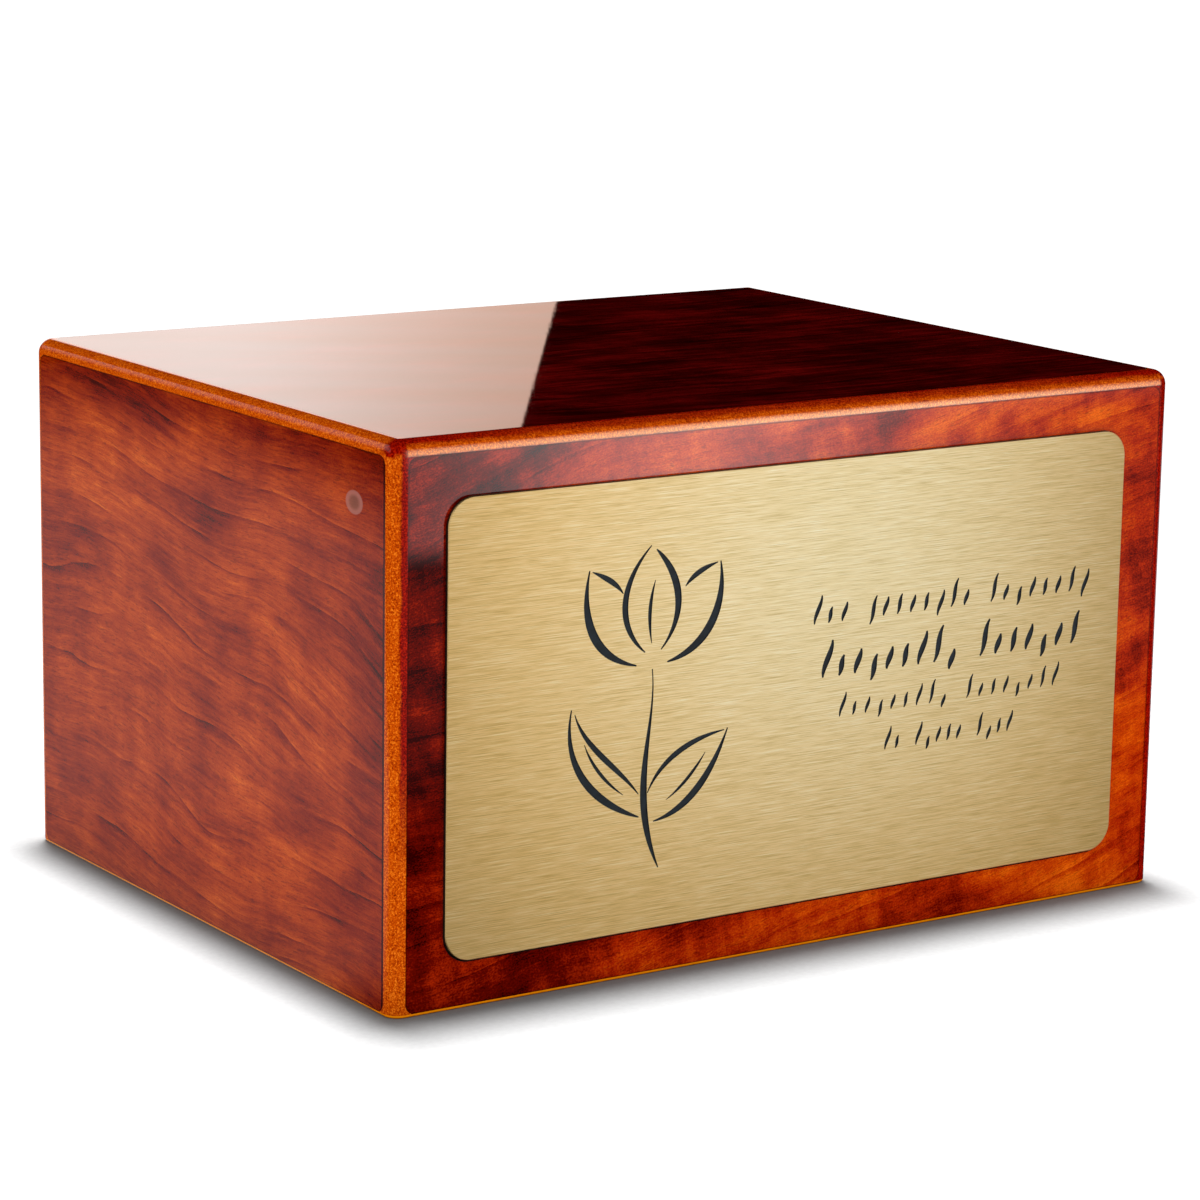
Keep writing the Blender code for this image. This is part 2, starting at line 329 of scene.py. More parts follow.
@dataclass(frozen=True)
class Lacquer:
    """Clear polyester lacquer, poured and polished: mirror gloss with the faint wave of a hand-polished coat.

    Attributes:
        roughness: The coat's own roughness.
        wave_mm: The polishing wave's length.
        wave_depth: Its depth in metres.
        peel_mm: The fine orange peel's size.
        peel_depth: Its depth in metres.
        under_roughness: The roughness of what lies under the coat.
    """

    roughness: float = 0.02
    wave_mm: float = 7.0
    wave_depth: float = 0.0000004
    peel_mm: float = 0.9
    peel_depth: float = 0.00000002
    under_roughness: float = 0.5

    def coat(self, tree: Tree, colour: Socket) -> None:
        """Puts the colour under the lacquer and closes the material.

        Args:
            tree: The material's node tree.
            colour: The colour under the lacquer.
        """
        place = wire(tree, "TexCoord", output="Object")
        wave = wire(tree, "TexNoise", {"Vector": place, "Scale": MM / self.wave_mm, "Detail": 1.0})
        peel = wire(tree, "TexNoise", {"Vector": place, "Scale": MM / self.peel_mm, "Detail": 0.0})
        height = wire(tree, "Math", {0: wave, 1: self.wave_depth}, operation="MULTIPLY")
        height = wire(tree, "Math", {0: peel, 1: self.peel_depth, 2: height}, operation="MULTIPLY_ADD")
        normal = wire(tree, "Bump", {"Height": height, "Strength": 1.0, "Distance": 1.0})
        shader = wire(
            tree,
            "BsdfPrincipled",
            {
                "Base Color": colour,
                "Roughness": self.under_roughness,
                "Specular IOR Level": 0.0,
                "Coat Weight": 1.0,
                "Coat Roughness": self.roughness,
                "Coat IOR": 1.5,
                "Coat Normal": normal,
            },
        )
        wire(tree, "OutputMaterial", {"Surface": shader})


@dataclass(frozen=True)
class StainedEdge:
    """Stained fibreboard edge under the lacquer, where rounding cut through the foil: a fine orange speckle,
    with dark red painted shade on parts of the rounding.

    Attributes:
        name: The finish's name.
        fleck_mm: A fleck's size.
        cloud_mm: A broad patch's size.
        fleck_share: How much of the tone comes from the flecks, and the rest from the patches.
        cut_line: The dark line by the foil: where it starts and ends past the outline, and its strengths.
        bright_foot_fade: How quickly the bare foot below the foil begins, in metres; it is painted brighter
            than the edge's orange, a painted highlight of light off the floor.
        rim_clear: The heights between which painted shade and foot line end, so that the flat rim below has
            neither.
        waver_mm: The size of the stain edge's wander.
        waver: How far it wanders, in shares of the edge's radius.
        end_darker: How much darker the painted shade is at the front edge's two ends.
    """

    name: str = "stained_fibreboard_edge"
    fleck_mm: float = 0.42
    cloud_mm: float = 6.0
    fleck_share: float = 0.88
    cut_line: tuple[float, float, float, float] = (0.02, 0.20, 0.7, 0.0)
    bright_foot_fade: float = 0.0001
    rim_clear: tuple[float, float] = (0.00002, 0.00010)
    waver_mm: float = 8.0
    waver: float = 0.36
    end_darker: float = 0.18

    def colour(self, tree: Tree, place: Socket, margin: Socket) -> Socket:
        """The edge's colour: flecks, a darker cut line by the foil, and dark red painted shade on parts of
        the rounding.

        Args:
            tree: The node tree.
            place: The point in metres.
            margin: The distance past the foil's outline in millimetres.

        Returns:
            The colour.
        """
        flecks = {"Vector": place, "Scale": MM / self.fleck_mm, "Detail": 2.0, "Roughness": 0.75}
        fleck = wire(tree, "TexNoise", flecks)
        cloud = wire(tree, "TexNoise", {"Vector": place, "Scale": MM / self.cloud_mm, "Detail": 2.0})
        tone = wire(tree, "Math", {0: fleck, 1: self.fleck_share}, operation="MULTIPLY")
        tone = wire(tree, "Math", {0: cloud, 1: 1 - self.fleck_share, 2: tone}, operation="MULTIPLY_ADD")
        orange = {0.33: "701A00", 0.45: "AE3C02", 0.53: "C24C02", 0.64: "E47818"}
        board = wire(tree, "ValToRGB", {"Fac": tone}, stops=orange)
        # Painted shade: the same fibreboard in dark red, laid on the parts of the rounding where shade falls
        red = wire(tree, "ValToRGB", {"Fac": tone}, stops={0.30: "340000", 0.50: "7E0600", 0.68: "B41E04"})
        height = wire(tree, "SeparateXYZ", {0: place}).node.outputs[2]
        above_rim = wire(tree, "MapRange", between(height, *self.rim_clear), **SOFT)
        # The mask below is painted shade, kept off the flat rim at the foot
        painted_shade = chain(tree, "MULTIPLY", self.painted_shade(tree, place), above_rim)
        colour = wire(tree, "Mix", {"Factor": painted_shade, MIX_A: board, MIX_B: red}, **BLEND)
        line = wire(tree, "MapRange", between(margin, *self.cut_line), **SOFT)
        colour = wire(tree, "Mix", {"Factor": line, MIX_A: colour, MIX_B: linear("3A0601")}, **BLEND)
        # Painted highlight: the bare foot below the foil gets a brighter orange than the edge, standing for
        # light off the floor
        foot = wire(tree, "MapRange", between(height, FOIL_FOOT, FOIL_FOOT - self.bright_foot_fade), **SOFT)
        foot = chain(tree, "MULTIPLY", foot, above_rim)
        return wire(tree, "Mix", {"Factor": foot, MIX_A: colour, MIX_B: linear("FF9408")}, **BLEND)

    def painted_shade(self, tree: Tree, place: Socket) -> Socket:
        """Where the edge is painted dark red as shade: at the top corners, under the top's foil in front, on
        the front quarter of the near upright and all over the far one; at the front's left end it also marks
        the dark mitre joint.

        Args:
            tree: The node tree.
            place: The point in metres.

        Returns:
            A share from 0 to 1.
        """
        waver = wire(tree, "TexNoise", {"Vector": place, "Scale": MM / self.waver_mm, "Detail": 3.0})
        waver = wire(tree, "Math", {0: waver, 1: self.waver, 2: -self.waver / 2}, operation="MULTIPLY_ADD")
        # How far round the edge's arc a point lies on each axis: 0 where the arc begins, 1 at the outside
        mirrored = wire(tree, "VectorMath", {0: place}, operation="ABSOLUTE")
        arc_centre = Vector((CASE_WIDTH / 2, CASE_DEPTH / 2, CASE_HEIGHT)) - Vector([EDGE_RADIUS] * 3)
        arc = wire(tree, "VectorMath", {0: mirrored, 1: arc_centre}, operation="SUBTRACT")
        arc = wire(tree, "VectorMath", {0: arc, "Scale": 1 / EDGE_RADIUS}, operation="SCALE")
        out_x, out_y, out_z = wire(tree, "SeparateXYZ", {0: arc}).node.outputs
        x, y, z = wire(tree, "SeparateXYZ", {0: place}).node.outputs
        frontward = chain(tree, "ADD", out_y, waver)
        sideward = chain(tree, "ADD", out_x, waver)
        off_middle = wire(tree, "Math", {0: x}, operation="ABSOLUTE")
        # Each share is 0 at its first number and 1 at its second
        spans = {
            "in_front": (y, 0.0, -0.001),
            "on_left": (x, 0.0, -0.001),
            "on_right": (x, 0.0, 0.001),
            "past_side": (out_x, 0.0, 0.05),
            "past_front": (out_y, 0.0, 0.05),
            "on_top_edge": (out_z, -0.05, 0.05),
            "under_top_edge": (out_z, 0.15, 0.0),
            "under_corner": (out_z, 0.60, 0.35),
            "in_corner": (chain(tree, "MINIMUM", out_x, out_y), 0.02, 0.25),
            "high_in_corner": (out_z, 0.35, 0.65),
            "near_front_end": (y, -0.0800, -0.0830),
            "over_left_edge": (out_z, 0.0, 0.3),
            "top_half_of_arc": (frontward, 0.95, 0.58),
            "top_of_arc": (frontward, 0.45, 0.20),
            "front_of_upright": (sideward, 0.56, 0.34),
            "above_foot": (z, 0.028, 0.060),
            "near_an_end": (off_middle, 0.060, 0.100),
        }
        share = {name: wire(tree, "MapRange", between(*span), **SOFT) for name, span in spans.items()}
        round_corner = chain(tree, "MINIMUM", share["under_corner"], share["past_side"], share["past_front"])
        share["below"] = chain(tree, "MAXIMUM", round_corner, share["under_top_edge"])
        parts = []
        for names in (
            ("top_half_of_arc", "past_front", "on_top_edge", "in_front"),
            ("in_corner", "high_in_corner"),
            ("top_of_arc", "past_front", "on_top_edge", "in_front"),
            # At the front's left end the painted shade also marks the dark mitre joint
            ("near_front_end", "on_left", "past_side", "over_left_edge"),
            ("front_of_upright", "on_left", "above_foot", "below", "in_front"),
            ("on_right", "below", "in_front"),
        ):
            parts.append(chain(tree, "MINIMUM", *(share[name] for name in names)))
        # The painted shade is deepest towards the front edge's two ends
        depths = {0: share["near_an_end"], 1: self.end_darker, 2: 1 - self.end_darker}
        depth = wire(tree, "Math", depths, operation="MULTIPLY_ADD")
        parts[0] = chain(tree, "MULTIPLY", parts[0], depth)
        return chain(tree, "MAXIMUM", *parts)

    def material(self, lacquer: Lacquer) -> bpy.types.Material:
        """Makes the rounded edges' own material.

        Args:
            lacquer: The clear coat over it.

        Returns:
            The material.
        """
        material, tree = new_material(self.name)
        place = wire(tree, "TexCoord", output="Object")
        lacquer.coat(tree, self.colour(tree, place, EdgeMargin().distance(tree, place)))
        return material


@dataclass(frozen=True)
class PaleDot:
    """A small round pale dot on the foil, a little darker in its middle.

    Attributes:
        centre: Its place on the left face.
        half_mm: Half its width and half its height.
        cover: Where its rim starts and ends, in shares of its radius, and how much it covers there.
    """

    centre: Triple = (0.0, -0.0697, 0.1115)
    half_mm: tuple[float, float] = (3.6, 2.6)
    cover: tuple[float, float, float, float] = (0.94, 1.06, 0.72, 0.0)

    def lay(self, tree: Tree, place: Socket, colour: Socket) -> Socket:
        """Lays the dot on the foil.

        Args:
            tree: The node tree.
            place: The point in metres.
            colour: The foil's colour.

        Returns:
            The colour with the dot.
        """
        scale = Vector((0, MM / self.half_mm[0], MM / self.half_mm[1]))
        shift = -scale * Vector(self.centre)
        spot = wire(tree, "Mapping", {"Vector": place, "Location": shift, "Scale": scale})
        radius = wire(tree, "VectorMath", {0: spot}, output="Value", operation="LENGTH")
        shade = wire(tree, "ValToRGB", {"Fac": radius}, stops={0.0: "66463A", 0.45: "714A3E", 0.75: "9A6358"})
        cover = wire(tree, "MapRange", between(radius, *self.cover), **SOFT)
        return wire(tree, "Mix", {"Factor": cover, MIX_A: colour, MIX_B: shade}, **BLEND)


@dataclass(frozen=True)
class Fade:
    """Broad shading over a face of the foil.

    Attributes:
        axis: The way it runs: 0 for X, 1 for Y and 2 for Z.
        start: Where it begins, in metres.
        end: Where it is full, in metres.
        amount: What it then adds to the tone.
    """

    axis: int
    start: float
    end: float
    amount: float


@dataclass(frozen=True)
class CherryFoil:
    """Printed cherry foil under lacquer: wavy dark veins, orange flame, cross curl and fine short pores.

    Attributes:
        name: The finish's name.
        along: The grain's direction on the face.
        across: The direction up across the grain.
        start: Where on the printed pattern the face begins, in millimetres.
        tones: The sRGB colours from the darkest vein to the brightest flame.
        tone_places: Where along the figure's tone, from 0 to 1, each of them stands.
        flame: How much the broad orange and dark patches differ.
        flame_size: Length and width of a patch in millimetres, as all sizes here are.
        streaks: How strong the long narrow streaks are.
        streak_size: A streak's length and width.
        fibre: How strong the hair-fine grain is.
        fibre_size: A hair's length and width.
        curl: How strong the bars across the grain are.
        curl_size: A bar's width and length.
        speckle: How strong the print's fine grit is.
        speckle_size: A grain of it.
        veins: How dark the wavy veins are.
        vein_space: How far apart they lie.
        vein_drift: How far they wander, in spaces.
        vein_drift_size: The wander's length and width.
        vein_dark: Between which shares of a space the vein darkens.
        vein_power: How suddenly it does.
        vein_glow: The bright line beyond it: its start and end in shares of a space, and its strengths there.
        vein_patch: Length and width of the patches in which veins show.
        vein_presence: The patch's noise where veins start and are full, and their strengths there.
        sways: The grain's waves: each one's length and width, and how far it pushes across the grain.
        pore_size: A pore's length and width.
        pores: The noise where a pore starts and is full, and its strengths there.
        cut_line: The dark line by the foil's end: its start and end, and its strengths there.
        end: Where the foil gives way to the edge.
        fades: Broad shading over the face.
        dot: The small pale dot near the front edge, where the face has it.
    """

    name: str
    along: Triple
    across: Triple
    start: Triple
    tones: tuple[str, str, str, str, str]
    tone_places: tuple[float, ...] = (0.0, 0.26, 0.50, 0.70, 0.92)
    flame: float = 0.75
    flame_size: tuple[float, float] = (34.0, 16.0)
    streaks: float = 0.85
    streak_size: tuple[float, float] = (26.0, 1.7)
    fibre: float = 0.32
    fibre_size: tuple[float, float] = (6.0, 0.42)
    curl: float = 0.25
    curl_size: tuple[float, float] = (8.0, 26.0)
    speckle: float = 0.30
    speckle_size: tuple[float, float] = (0.50, 0.34)
    veins: float = 0.38
    vein_space: float = 8.0
    vein_drift: float = 2.2
    vein_drift_size: tuple[float, float] = (95.0, 22.0)
    vein_dark: tuple[float, float] = (0.50, 0.98)
    vein_power: float = 3.5
    vein_glow: tuple[float, float, float, float] = (0.0, 0.18, 0.40, 0.0)
    vein_patch: tuple[float, float] = (24.0, 5.0)
    vein_presence: tuple[float, float, float, float] = (0.42, 0.66, 0.05, 1.0)
    sways: tuple = (((90.0, 60.0), 20.0), ((22.0, 14.0), 2.4), ((6.0, 4.0), 0.5))
    pore_size: tuple[float, float] = (2.2, 0.24)
    pores: tuple[float, float, float, float] = (0.62, 0.72, 0.0, 0.4)
    cut_line: tuple[float, float, float, float] = (-0.40, -0.05, 0.0, 0.55)
    end: tuple[float, float] = (0.0, 0.08)
    fades: tuple[Fade, ...] = ()
    dot: PaleDot | None = None

    def stretched(
        self, tree: Tree, place: Socket, size: tuple[float, float], detail: float = 2.0, output: str = "Fac"
    ) -> Socket:
        """Noise whose patches are longer along the grain than across it.

        Args:
            tree: The node tree.
            place: The point in the foil's own millimetres.
            size: A patch's length and width in millimetres.
            detail: How many finer layers it has.
            output: The noise's output to hand back.

        Returns:
            The noise.
        """
        squeeze = (1 / size[0], 1 / size[1], 1 / size[1])
        squeezed = wire(tree, "VectorMath", {0: place, 1: squeeze}, operation="MULTIPLY")
        inputs = {"Vector": squeezed, "Scale": 1.0, "Detail": detail, "Roughness": 0.55}
        return wire(tree, "TexNoise", inputs, output=output)

    def grain_space(self, tree: Tree, place: Socket) -> Socket:
        """The point in the foil's millimetres, first along the grain and then across, with the grain's sway.

        Args:
            tree: The node tree.
            place: The point in metres.

        Returns:
            The point on the printed pattern.
        """
        along = Vector(self.along).normalized()
        across = Vector(self.across).normalized()
        turn = Matrix((along, across, along.cross(across))).to_euler()
        frame_inputs = {"Vector": place, "Rotation": turn, "Scale": (MM, MM, MM), "Location": self.start}
        swayed = wire(tree, "Mapping", frame_inputs)
        for size, depth in self.sways:
            sway = self.stretched(tree, swayed, size, 0.0, "Color")
            sway = wire(tree, "VectorMath", {0: sway, 1: (0.5, 0.5, 0.5)}, operation="SUBTRACT")
            pushed = {0: sway, 1: (0, depth, 0), 2: swayed}
            swayed = wire(tree, "VectorMath", pushed, operation="MULTIPLY_ADD")
        return swayed

    def vein_tone(self, tree: Tree, grain: Socket) -> Socket:
        """The veins: each darkens slowly to a sharp edge, with a bright line beyond it, and comes and goes.

        Args:
            tree: The node tree.
            grain: The point on the printed pattern.

        Returns:
            What the veins add to the tone.
        """
        drift = self.stretched(tree, grain, self.vein_drift_size)
        rings = wire(tree, "SeparateXYZ", {0: grain}).node.outputs[1]
        rings = wire(tree, "Math", {0: rings, 1: 1 / self.vein_space}, operation="MULTIPLY")
        rings = wire(tree, "Math", {0: drift, 1: self.vein_drift, 2: rings}, operation="MULTIPLY_ADD")
        rings = wire(tree, "Math", {0: rings}, operation="FRACT")
        dark = wire(tree, "MapRange", between(rings, *self.vein_dark))
        steep = wire(tree, "Math", {0: dark, 1: self.vein_power}, operation="POWER")
        glow = wire(tree, "MapRange", between(rings, *self.vein_glow), **SOFT)
        patches = self.stretched(tree, grain, self.vein_patch)
        presence = wire(tree, "MapRange", between(patches, *self.vein_presence), **SOFT)
        both = wire(tree, "Math", {0: glow, 1: steep}, operation="SUBTRACT")
        return wire(tree, "Math", {0: both, 1: presence}, operation="MULTIPLY")

    def colour(self, tree: Tree, place: Socket) -> Socket:
        """The printed grain.

        Args:
            tree: The node tree.
            place: The point in metres.

        Returns:
            The colour.
        """
        grain = self.grain_space(tree, place)
        veined = {0: self.vein_tone(tree, grain), 1: self.veins, 2: 0.5}
        tone = wire(tree, "Math", veined, operation="MULTIPLY_ADD")
        for size, detail, strength in (
            (self.flame_size, 3.0, self.flame),
            (self.streak_size, 3.0, self.streaks),
            (self.fibre_size, 2.0, self.fibre),
            (self.curl_size, 1.0, self.curl),
            (self.speckle_size, 1.0, self.speckle),
        ):
            layer = self.stretched(tree, grain, size, detail)
            centred = wire(tree, "Math", {0: layer, 1: 0.5}, operation="SUBTRACT")
            tone = wire(tree, "Math", {0: centred, 1: strength, 2: tone}, operation="MULTIPLY_ADD")
        parts = wire(tree, "SeparateXYZ", {0: place}).node.outputs
        for fade in self.fades:
            shading = between(parts[fade.axis], fade.start, fade.end, 0.0, fade.amount)
            tone = chain(tree, "ADD", tone, wire(tree, "MapRange", shading, **SOFT))
        printed = wire(tree, "ValToRGB", {"Fac": tone}, stops=dict(zip(self.tone_places, self.tones)))
        pore = self.stretched(tree, grain, self.pore_size, 0.0)
        pore = wire(tree, "MapRange", between(pore, *self.pores), **SOFT)
        return wire(tree, "Mix", {"Factor": pore, MIX_A: printed, MIX_B: linear(self.tones[0])}, **BLEND)

    def material(self, edge: StainedEdge, lacquer: Lacquer) -> bpy.types.Material:
        """Makes one face's material.

        Args:
            edge: The finish where the foil ends.
            lacquer: The clear coat over both.

        Returns:
            The material.
        """
        material, tree = new_material(self.name)
        place = wire(tree, "TexCoord", output="Object")
        printed = self.colour(tree, place)
        if self.dot:
            printed = self.dot.lay(tree, place, printed)
        margin = EdgeMargin().distance(tree, place)
        line = wire(tree, "MapRange", between(margin, *self.cut_line), **SOFT)
        printed = wire(tree, "Mix", {"Factor": line, MIX_A: printed, MIX_B: linear("260300")}, **BLEND)
        past = wire(tree, "MapRange", between(margin, *self.end), **SOFT)
        bare = edge.colour(tree, place, margin)
        lacquer.coat(tree, wire(tree, "Mix", {"Factor": past, MIX_A: printed, MIX_B: bare}, **BLEND))
        return material


@dataclass(frozen=True)
class RawFibreboard:
    """Medium-density fibreboard, sawn and left bare: matt tan, with a felt of fine fibres.

    Attributes:
        name: The finish's name.
        fibre_mm: A fibre's size.
        cloud_mm: The size of the paler and darker clouds.
        fibre_share: How much of the tone the fibres make; the clouds make the rest.
    """

    name: str = "raw_fibreboard"
    fibre_mm: float = 0.7
    cloud_mm: float = 18.0
    fibre_share: float = 0.7

    def material(self) -> bpy.types.Material:
        """Makes the material.

        Returns:
            The material.
        """
        material, tree = new_material(self.name)
        place = wire(tree, "TexCoord", output="Object")
        felt = {
            "Vector": place,
            "Scale": MM / self.fibre_mm,
            "Detail": 4.0,
            "Roughness": 0.7,
            "Distortion": 1.2,
        }
        fibre = wire(tree, "TexNoise", felt)
        cloud = wire(tree, "TexNoise", {"Vector": place, "Scale": MM / self.cloud_mm, "Detail": 3.0})
        tone = wire(tree, "Math", {0: fibre, 1: self.fibre_share}, operation="MULTIPLY")
        tone = wire(tree, "Math", {0: cloud, 1: 1 - self.fibre_share, 2: tone}, operation="MULTIPLY_ADD")
        tans = {0.32: "5E4328", 0.48: "8F7048", 0.60: "A88A60", 0.74: "C2A67C"}
        colour = wire(tree, "ValToRGB", {"Fac": tone}, stops=tans)
        normal = wire(tree, "Bump", {"Height": fibre, "Strength": 0.5, "Distance": 0.0001})
        shader = wire(tree, "BsdfPrincipled", {"Base Color": colour, "Roughness": 0.85, "Normal": normal})
        wire(tree, "OutputMaterial", {"Surface": shader})
        return material


@dataclass(frozen=True)
class ZincPlate:
    """Bright zinc-plated steel: grey with a faint yellow-blue cloud and fine turning marks."""

    name: str = "zinc_plated_steel"
    cloud_mm: float = 1.6
    scratch_mm: float = 0.18

    def material(self) -> bpy.types.Material:
        """Makes the material.

        Returns:
            The material.
        """
        material, tree = new_material(self.name)
        place = wire(tree, "TexCoord", output="Object")
        cloud = wire(tree, "TexNoise", {"Vector": place, "Scale": MM / self.cloud_mm, "Detail": 3.0})
        greys = {0.35: "8F9296", 0.52: "B4B3AA", 0.68: "C9C2A6"}
        colour = wire(tree, "ValToRGB", {"Fac": cloud}, stops=greys)
        scratch = wire(tree, "TexNoise", {"Vector": place, "Scale": MM / self.scratch_mm, "Detail": 1.0})
        normal = wire(tree, "Bump", {"Height": scratch, "Strength": 0.25, "Distance": 0.00002})
        plated = {"Base Color": colour, "Metallic": 1.0, "Roughness": 0.34, "Normal": normal}
        shader = wire(tree, "BsdfPrincipled", plated)
        wire(tree, "OutputMaterial", {"Surface": shader})
        return material


@dataclass(frozen=True)
class BrushedGold:
    """Gold-anodised aluminium, brushed lengthwise, so that its satin sheen spreads up and down.

    Its colour is painted paler towards the upper middle, a painted highlight where the lamps light it most.

    Attributes:
        name: The finish's name.
        line_mm: A brushed line's length and width, drawn as coarse as it needs to show.
        hair_mm: The same of the finer lines between them.
        roughness: The satin's roughness.
        highlight_place: The middle of the painted highlight, where the colour is palest.
        highlight_reach: How far off the colour is at its deepest, each way.
    """

    name: str = "brushed_gold_aluminium"
    line_mm: tuple[float, float] = (15.0, 0.17)
    hair_mm: tuple[float, float] = (6.0, 0.11)
    roughness: float = 0.36
    highlight_place: tuple[float, float, float] = (0.012, 0.0, 0.092)
    highlight_reach: tuple[float, float, float] = (0.125, 1.0, 0.110)

    def material(self) -> bpy.types.Material:
        """Makes the material.

        Returns:
            The material.
        """
        material, tree = new_material(self.name)
        place = wire(tree, "TexCoord", output="Object")
        layers = []
        for length, width in (self.line_mm, self.hair_mm):
            squeeze = (MM / length, MM / width, MM / width)
            squeezed = wire(tree, "VectorMath", {0: place, 1: squeeze}, operation="MULTIPLY")
            noise = {"Vector": squeezed, "Scale": 1.0, "Detail": 2.0, "Roughness": 0.6}
            layers.append(wire(tree, "TexNoise", noise))
        brushing = wire(tree, "Math", {0: layers[0], 1: 0.5}, operation="MULTIPLY")
        brushing = wire(tree, "Math", {0: layers[1], 1: 0.5, 2: brushing}, operation="MULTIPLY_ADD")
        deep_dye = {0.37: "D4AA5E", 0.46: "ECC47A", 0.54: "F9D08B", 0.63: "FFE5AA"}
        # Painted highlight: paler copies of the dye for the plate's brightly lit middle
        highlight_tints = {0.37: "D8C088", 0.46: "EFDBA7", 0.54: "FAE6B6", 0.63: "FFF6D6"}
        deep = wire(tree, "ValToRGB", {"Fac": brushing}, stops=deep_dye)
        pale = wire(tree, "ValToRGB", {"Fac": brushing}, stops=highlight_tints)
        # Painted highlight: the colour turns paler towards the upper middle, where the lamps light the plate
        # most
        off = wire(tree, "VectorMath", {0: place, 1: self.highlight_place}, operation="SUBTRACT")
        off = wire(tree, "VectorMath", {0: off, 1: self.highlight_reach}, operation="DIVIDE")
        radius = wire(tree, "VectorMath", {0: off}, output="Value", operation="LENGTH")
        share = wire(tree, "MapRange", between(radius, 0.0, 1.0), **SOFT)
        colour = wire(tree, "Mix", {"Factor": share, MIX_A: pale, MIX_B: deep}, **BLEND)
        normal = wire(tree, "Bump", {"Height": brushing, "Strength": 0.08, "Distance": 0.00008})
        shader = wire(
            tree,
            "BsdfPrincipled",
            {
                "Base Color": colour,
                "Metallic": 1.0,
                "Roughness": self.roughness,
                "Anisotropic": 0.55,
                "Anisotropic Rotation": 0.25,
                "Normal": normal,
            },
        )
        wire(tree, "OutputMaterial", {"Surface": shader})
        return material


@dataclass(frozen=True)
class EngravingEnamel:
    """Blue-black fill in the engraving: dull and even, with the faint drag of the wiping cloth."""

    name: str = "engraving_enamel"
    drag_mm: float = 1.2

    def material(self) -> bpy.types.Material:
        """Makes the material.

        Returns:
            The material.
        """
        material, tree = new_material(self.name)
        place = wire(tree, "TexCoord", output="Object")
        drag = wire(tree, "TexNoise", {"Vector": place, "Scale": MM / self.drag_mm, "Detail": 3.0})
        colour = wire(tree, "ValToRGB", {"Fac": drag}, stops={0.35: "050C12", 0.65: "0B1822"})
        shader = wire(tree, "BsdfPrincipled", {"Base Color": colour, "Roughness": 0.55})
        wire(tree, "OutputMaterial", {"Surface": shader})
        return material


@dataclass(frozen=True)
class ShearedEdge:
    """The plate's sheared edge, painted near-black as shade for the dark line round the plate, with fine drag
    marks.
    """

    name: str = "sheared_plate_edge_painted_shade"
    drag_mm: float = 0.2

    def material(self) -> bpy.types.Material:
        """Makes the material.

        Returns:
            The material.
        """
        material, tree = new_material(self.name)
        place = wire(tree, "TexCoord", output="Object")
        drag = wire(tree, "TexNoise", {"Vector": place, "Scale": MM / self.drag_mm, "Detail": 1.0})
        # Painted shade: the edge's near-black stands for the dark shadow line round the plate
        colour = wire(tree, "ValToRGB", {"Fac": drag}, stops={0.35: "120A05", 0.65: "33210F"})
        shader = wire(tree, "BsdfPrincipled", {"Base Color": colour, "Metallic": 0.2, "Roughness": 0.6})
        wire(tree, "OutputMaterial", {"Surface": shader})
        return material


@dataclass(frozen=True)
class MountingTape:
    """Black acrylic foam tape: dull, with a fine closed-cell grain; where it shows under the plate it is a
    painted shadow line.
    """

    name: str = "mounting_tape_foam"
    cell_mm: float = 0.3

    def material(self) -> bpy.types.Material:
        """Makes the material.

        Returns:
            The material.
        """
        material, tree = new_material(self.name)
        place = wire(tree, "TexCoord", output="Object")
        cell = wire(tree, "TexNoise", {"Vector": place, "Scale": MM / self.cell_mm, "Detail": 1.0})
        colour = wire(tree, "ValToRGB", {"Fac": cell}, stops={0.35: "060403", 0.65: "140C08"})
        foam = {"Base Color": colour, "Roughness": 0.8, "Specular IOR Level": 0.1}
        shader = wire(tree, "BsdfPrincipled", foam)
        wire(tree, "OutputMaterial", {"Surface": shader})
        return material


# The case


@dataclass
class TopFoil:
    """The top's foil under its lacquer, a thin sheet in a pocket of the case that takes its own lights.

    Attributes:
        depth: The pocket's depth.
        rim: How far the pocket stays inside the flat.
        gap: The play round and under the sheet.
        clear: How far the cutter stands above the top.
    """

    depth: float = 0.0004
    rim: float = 0.0002
    gap: float = 0.00002
    clear: float = 0.002

    def block(self, name: str, inset: float, above: float) -> bpy.types.Object:
        """Adds a flat block at the pocket's place.

        Args:
            name: Its name.
            inset: How much smaller than the pocket it is, on the sides and below.
            above: How far it stands above the top.

        Returns:
            The block.
        """
        margin = EDGE_RADIUS + self.rim + inset
        half = Vector((CASE_WIDTH / 2 - margin, CASE_DEPTH / 2 - margin, 0))
        low = Vector((0, 0, CASE_HEIGHT - self.depth + inset)) - half
        high = Vector((0, 0, CASE_HEIGHT + above)) + half
        return add_block(name, low, high)

    def pocket(self) -> bpy.types.Object:
        """Makes the cutter for the pocket."""
        return self.block("pocket", 0.0, self.clear)

    def build(self, material: bpy.types.Material) -> bpy.types.Object:
        """Models the sheet.

        Args:
            material: The top's foil.

        Returns:
            The sheet.
        """
        sheet = self.block("top_foil", self.gap, 0.0)
        sheet.data.materials.append(material)
        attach(sheet, "root")
        return sheet


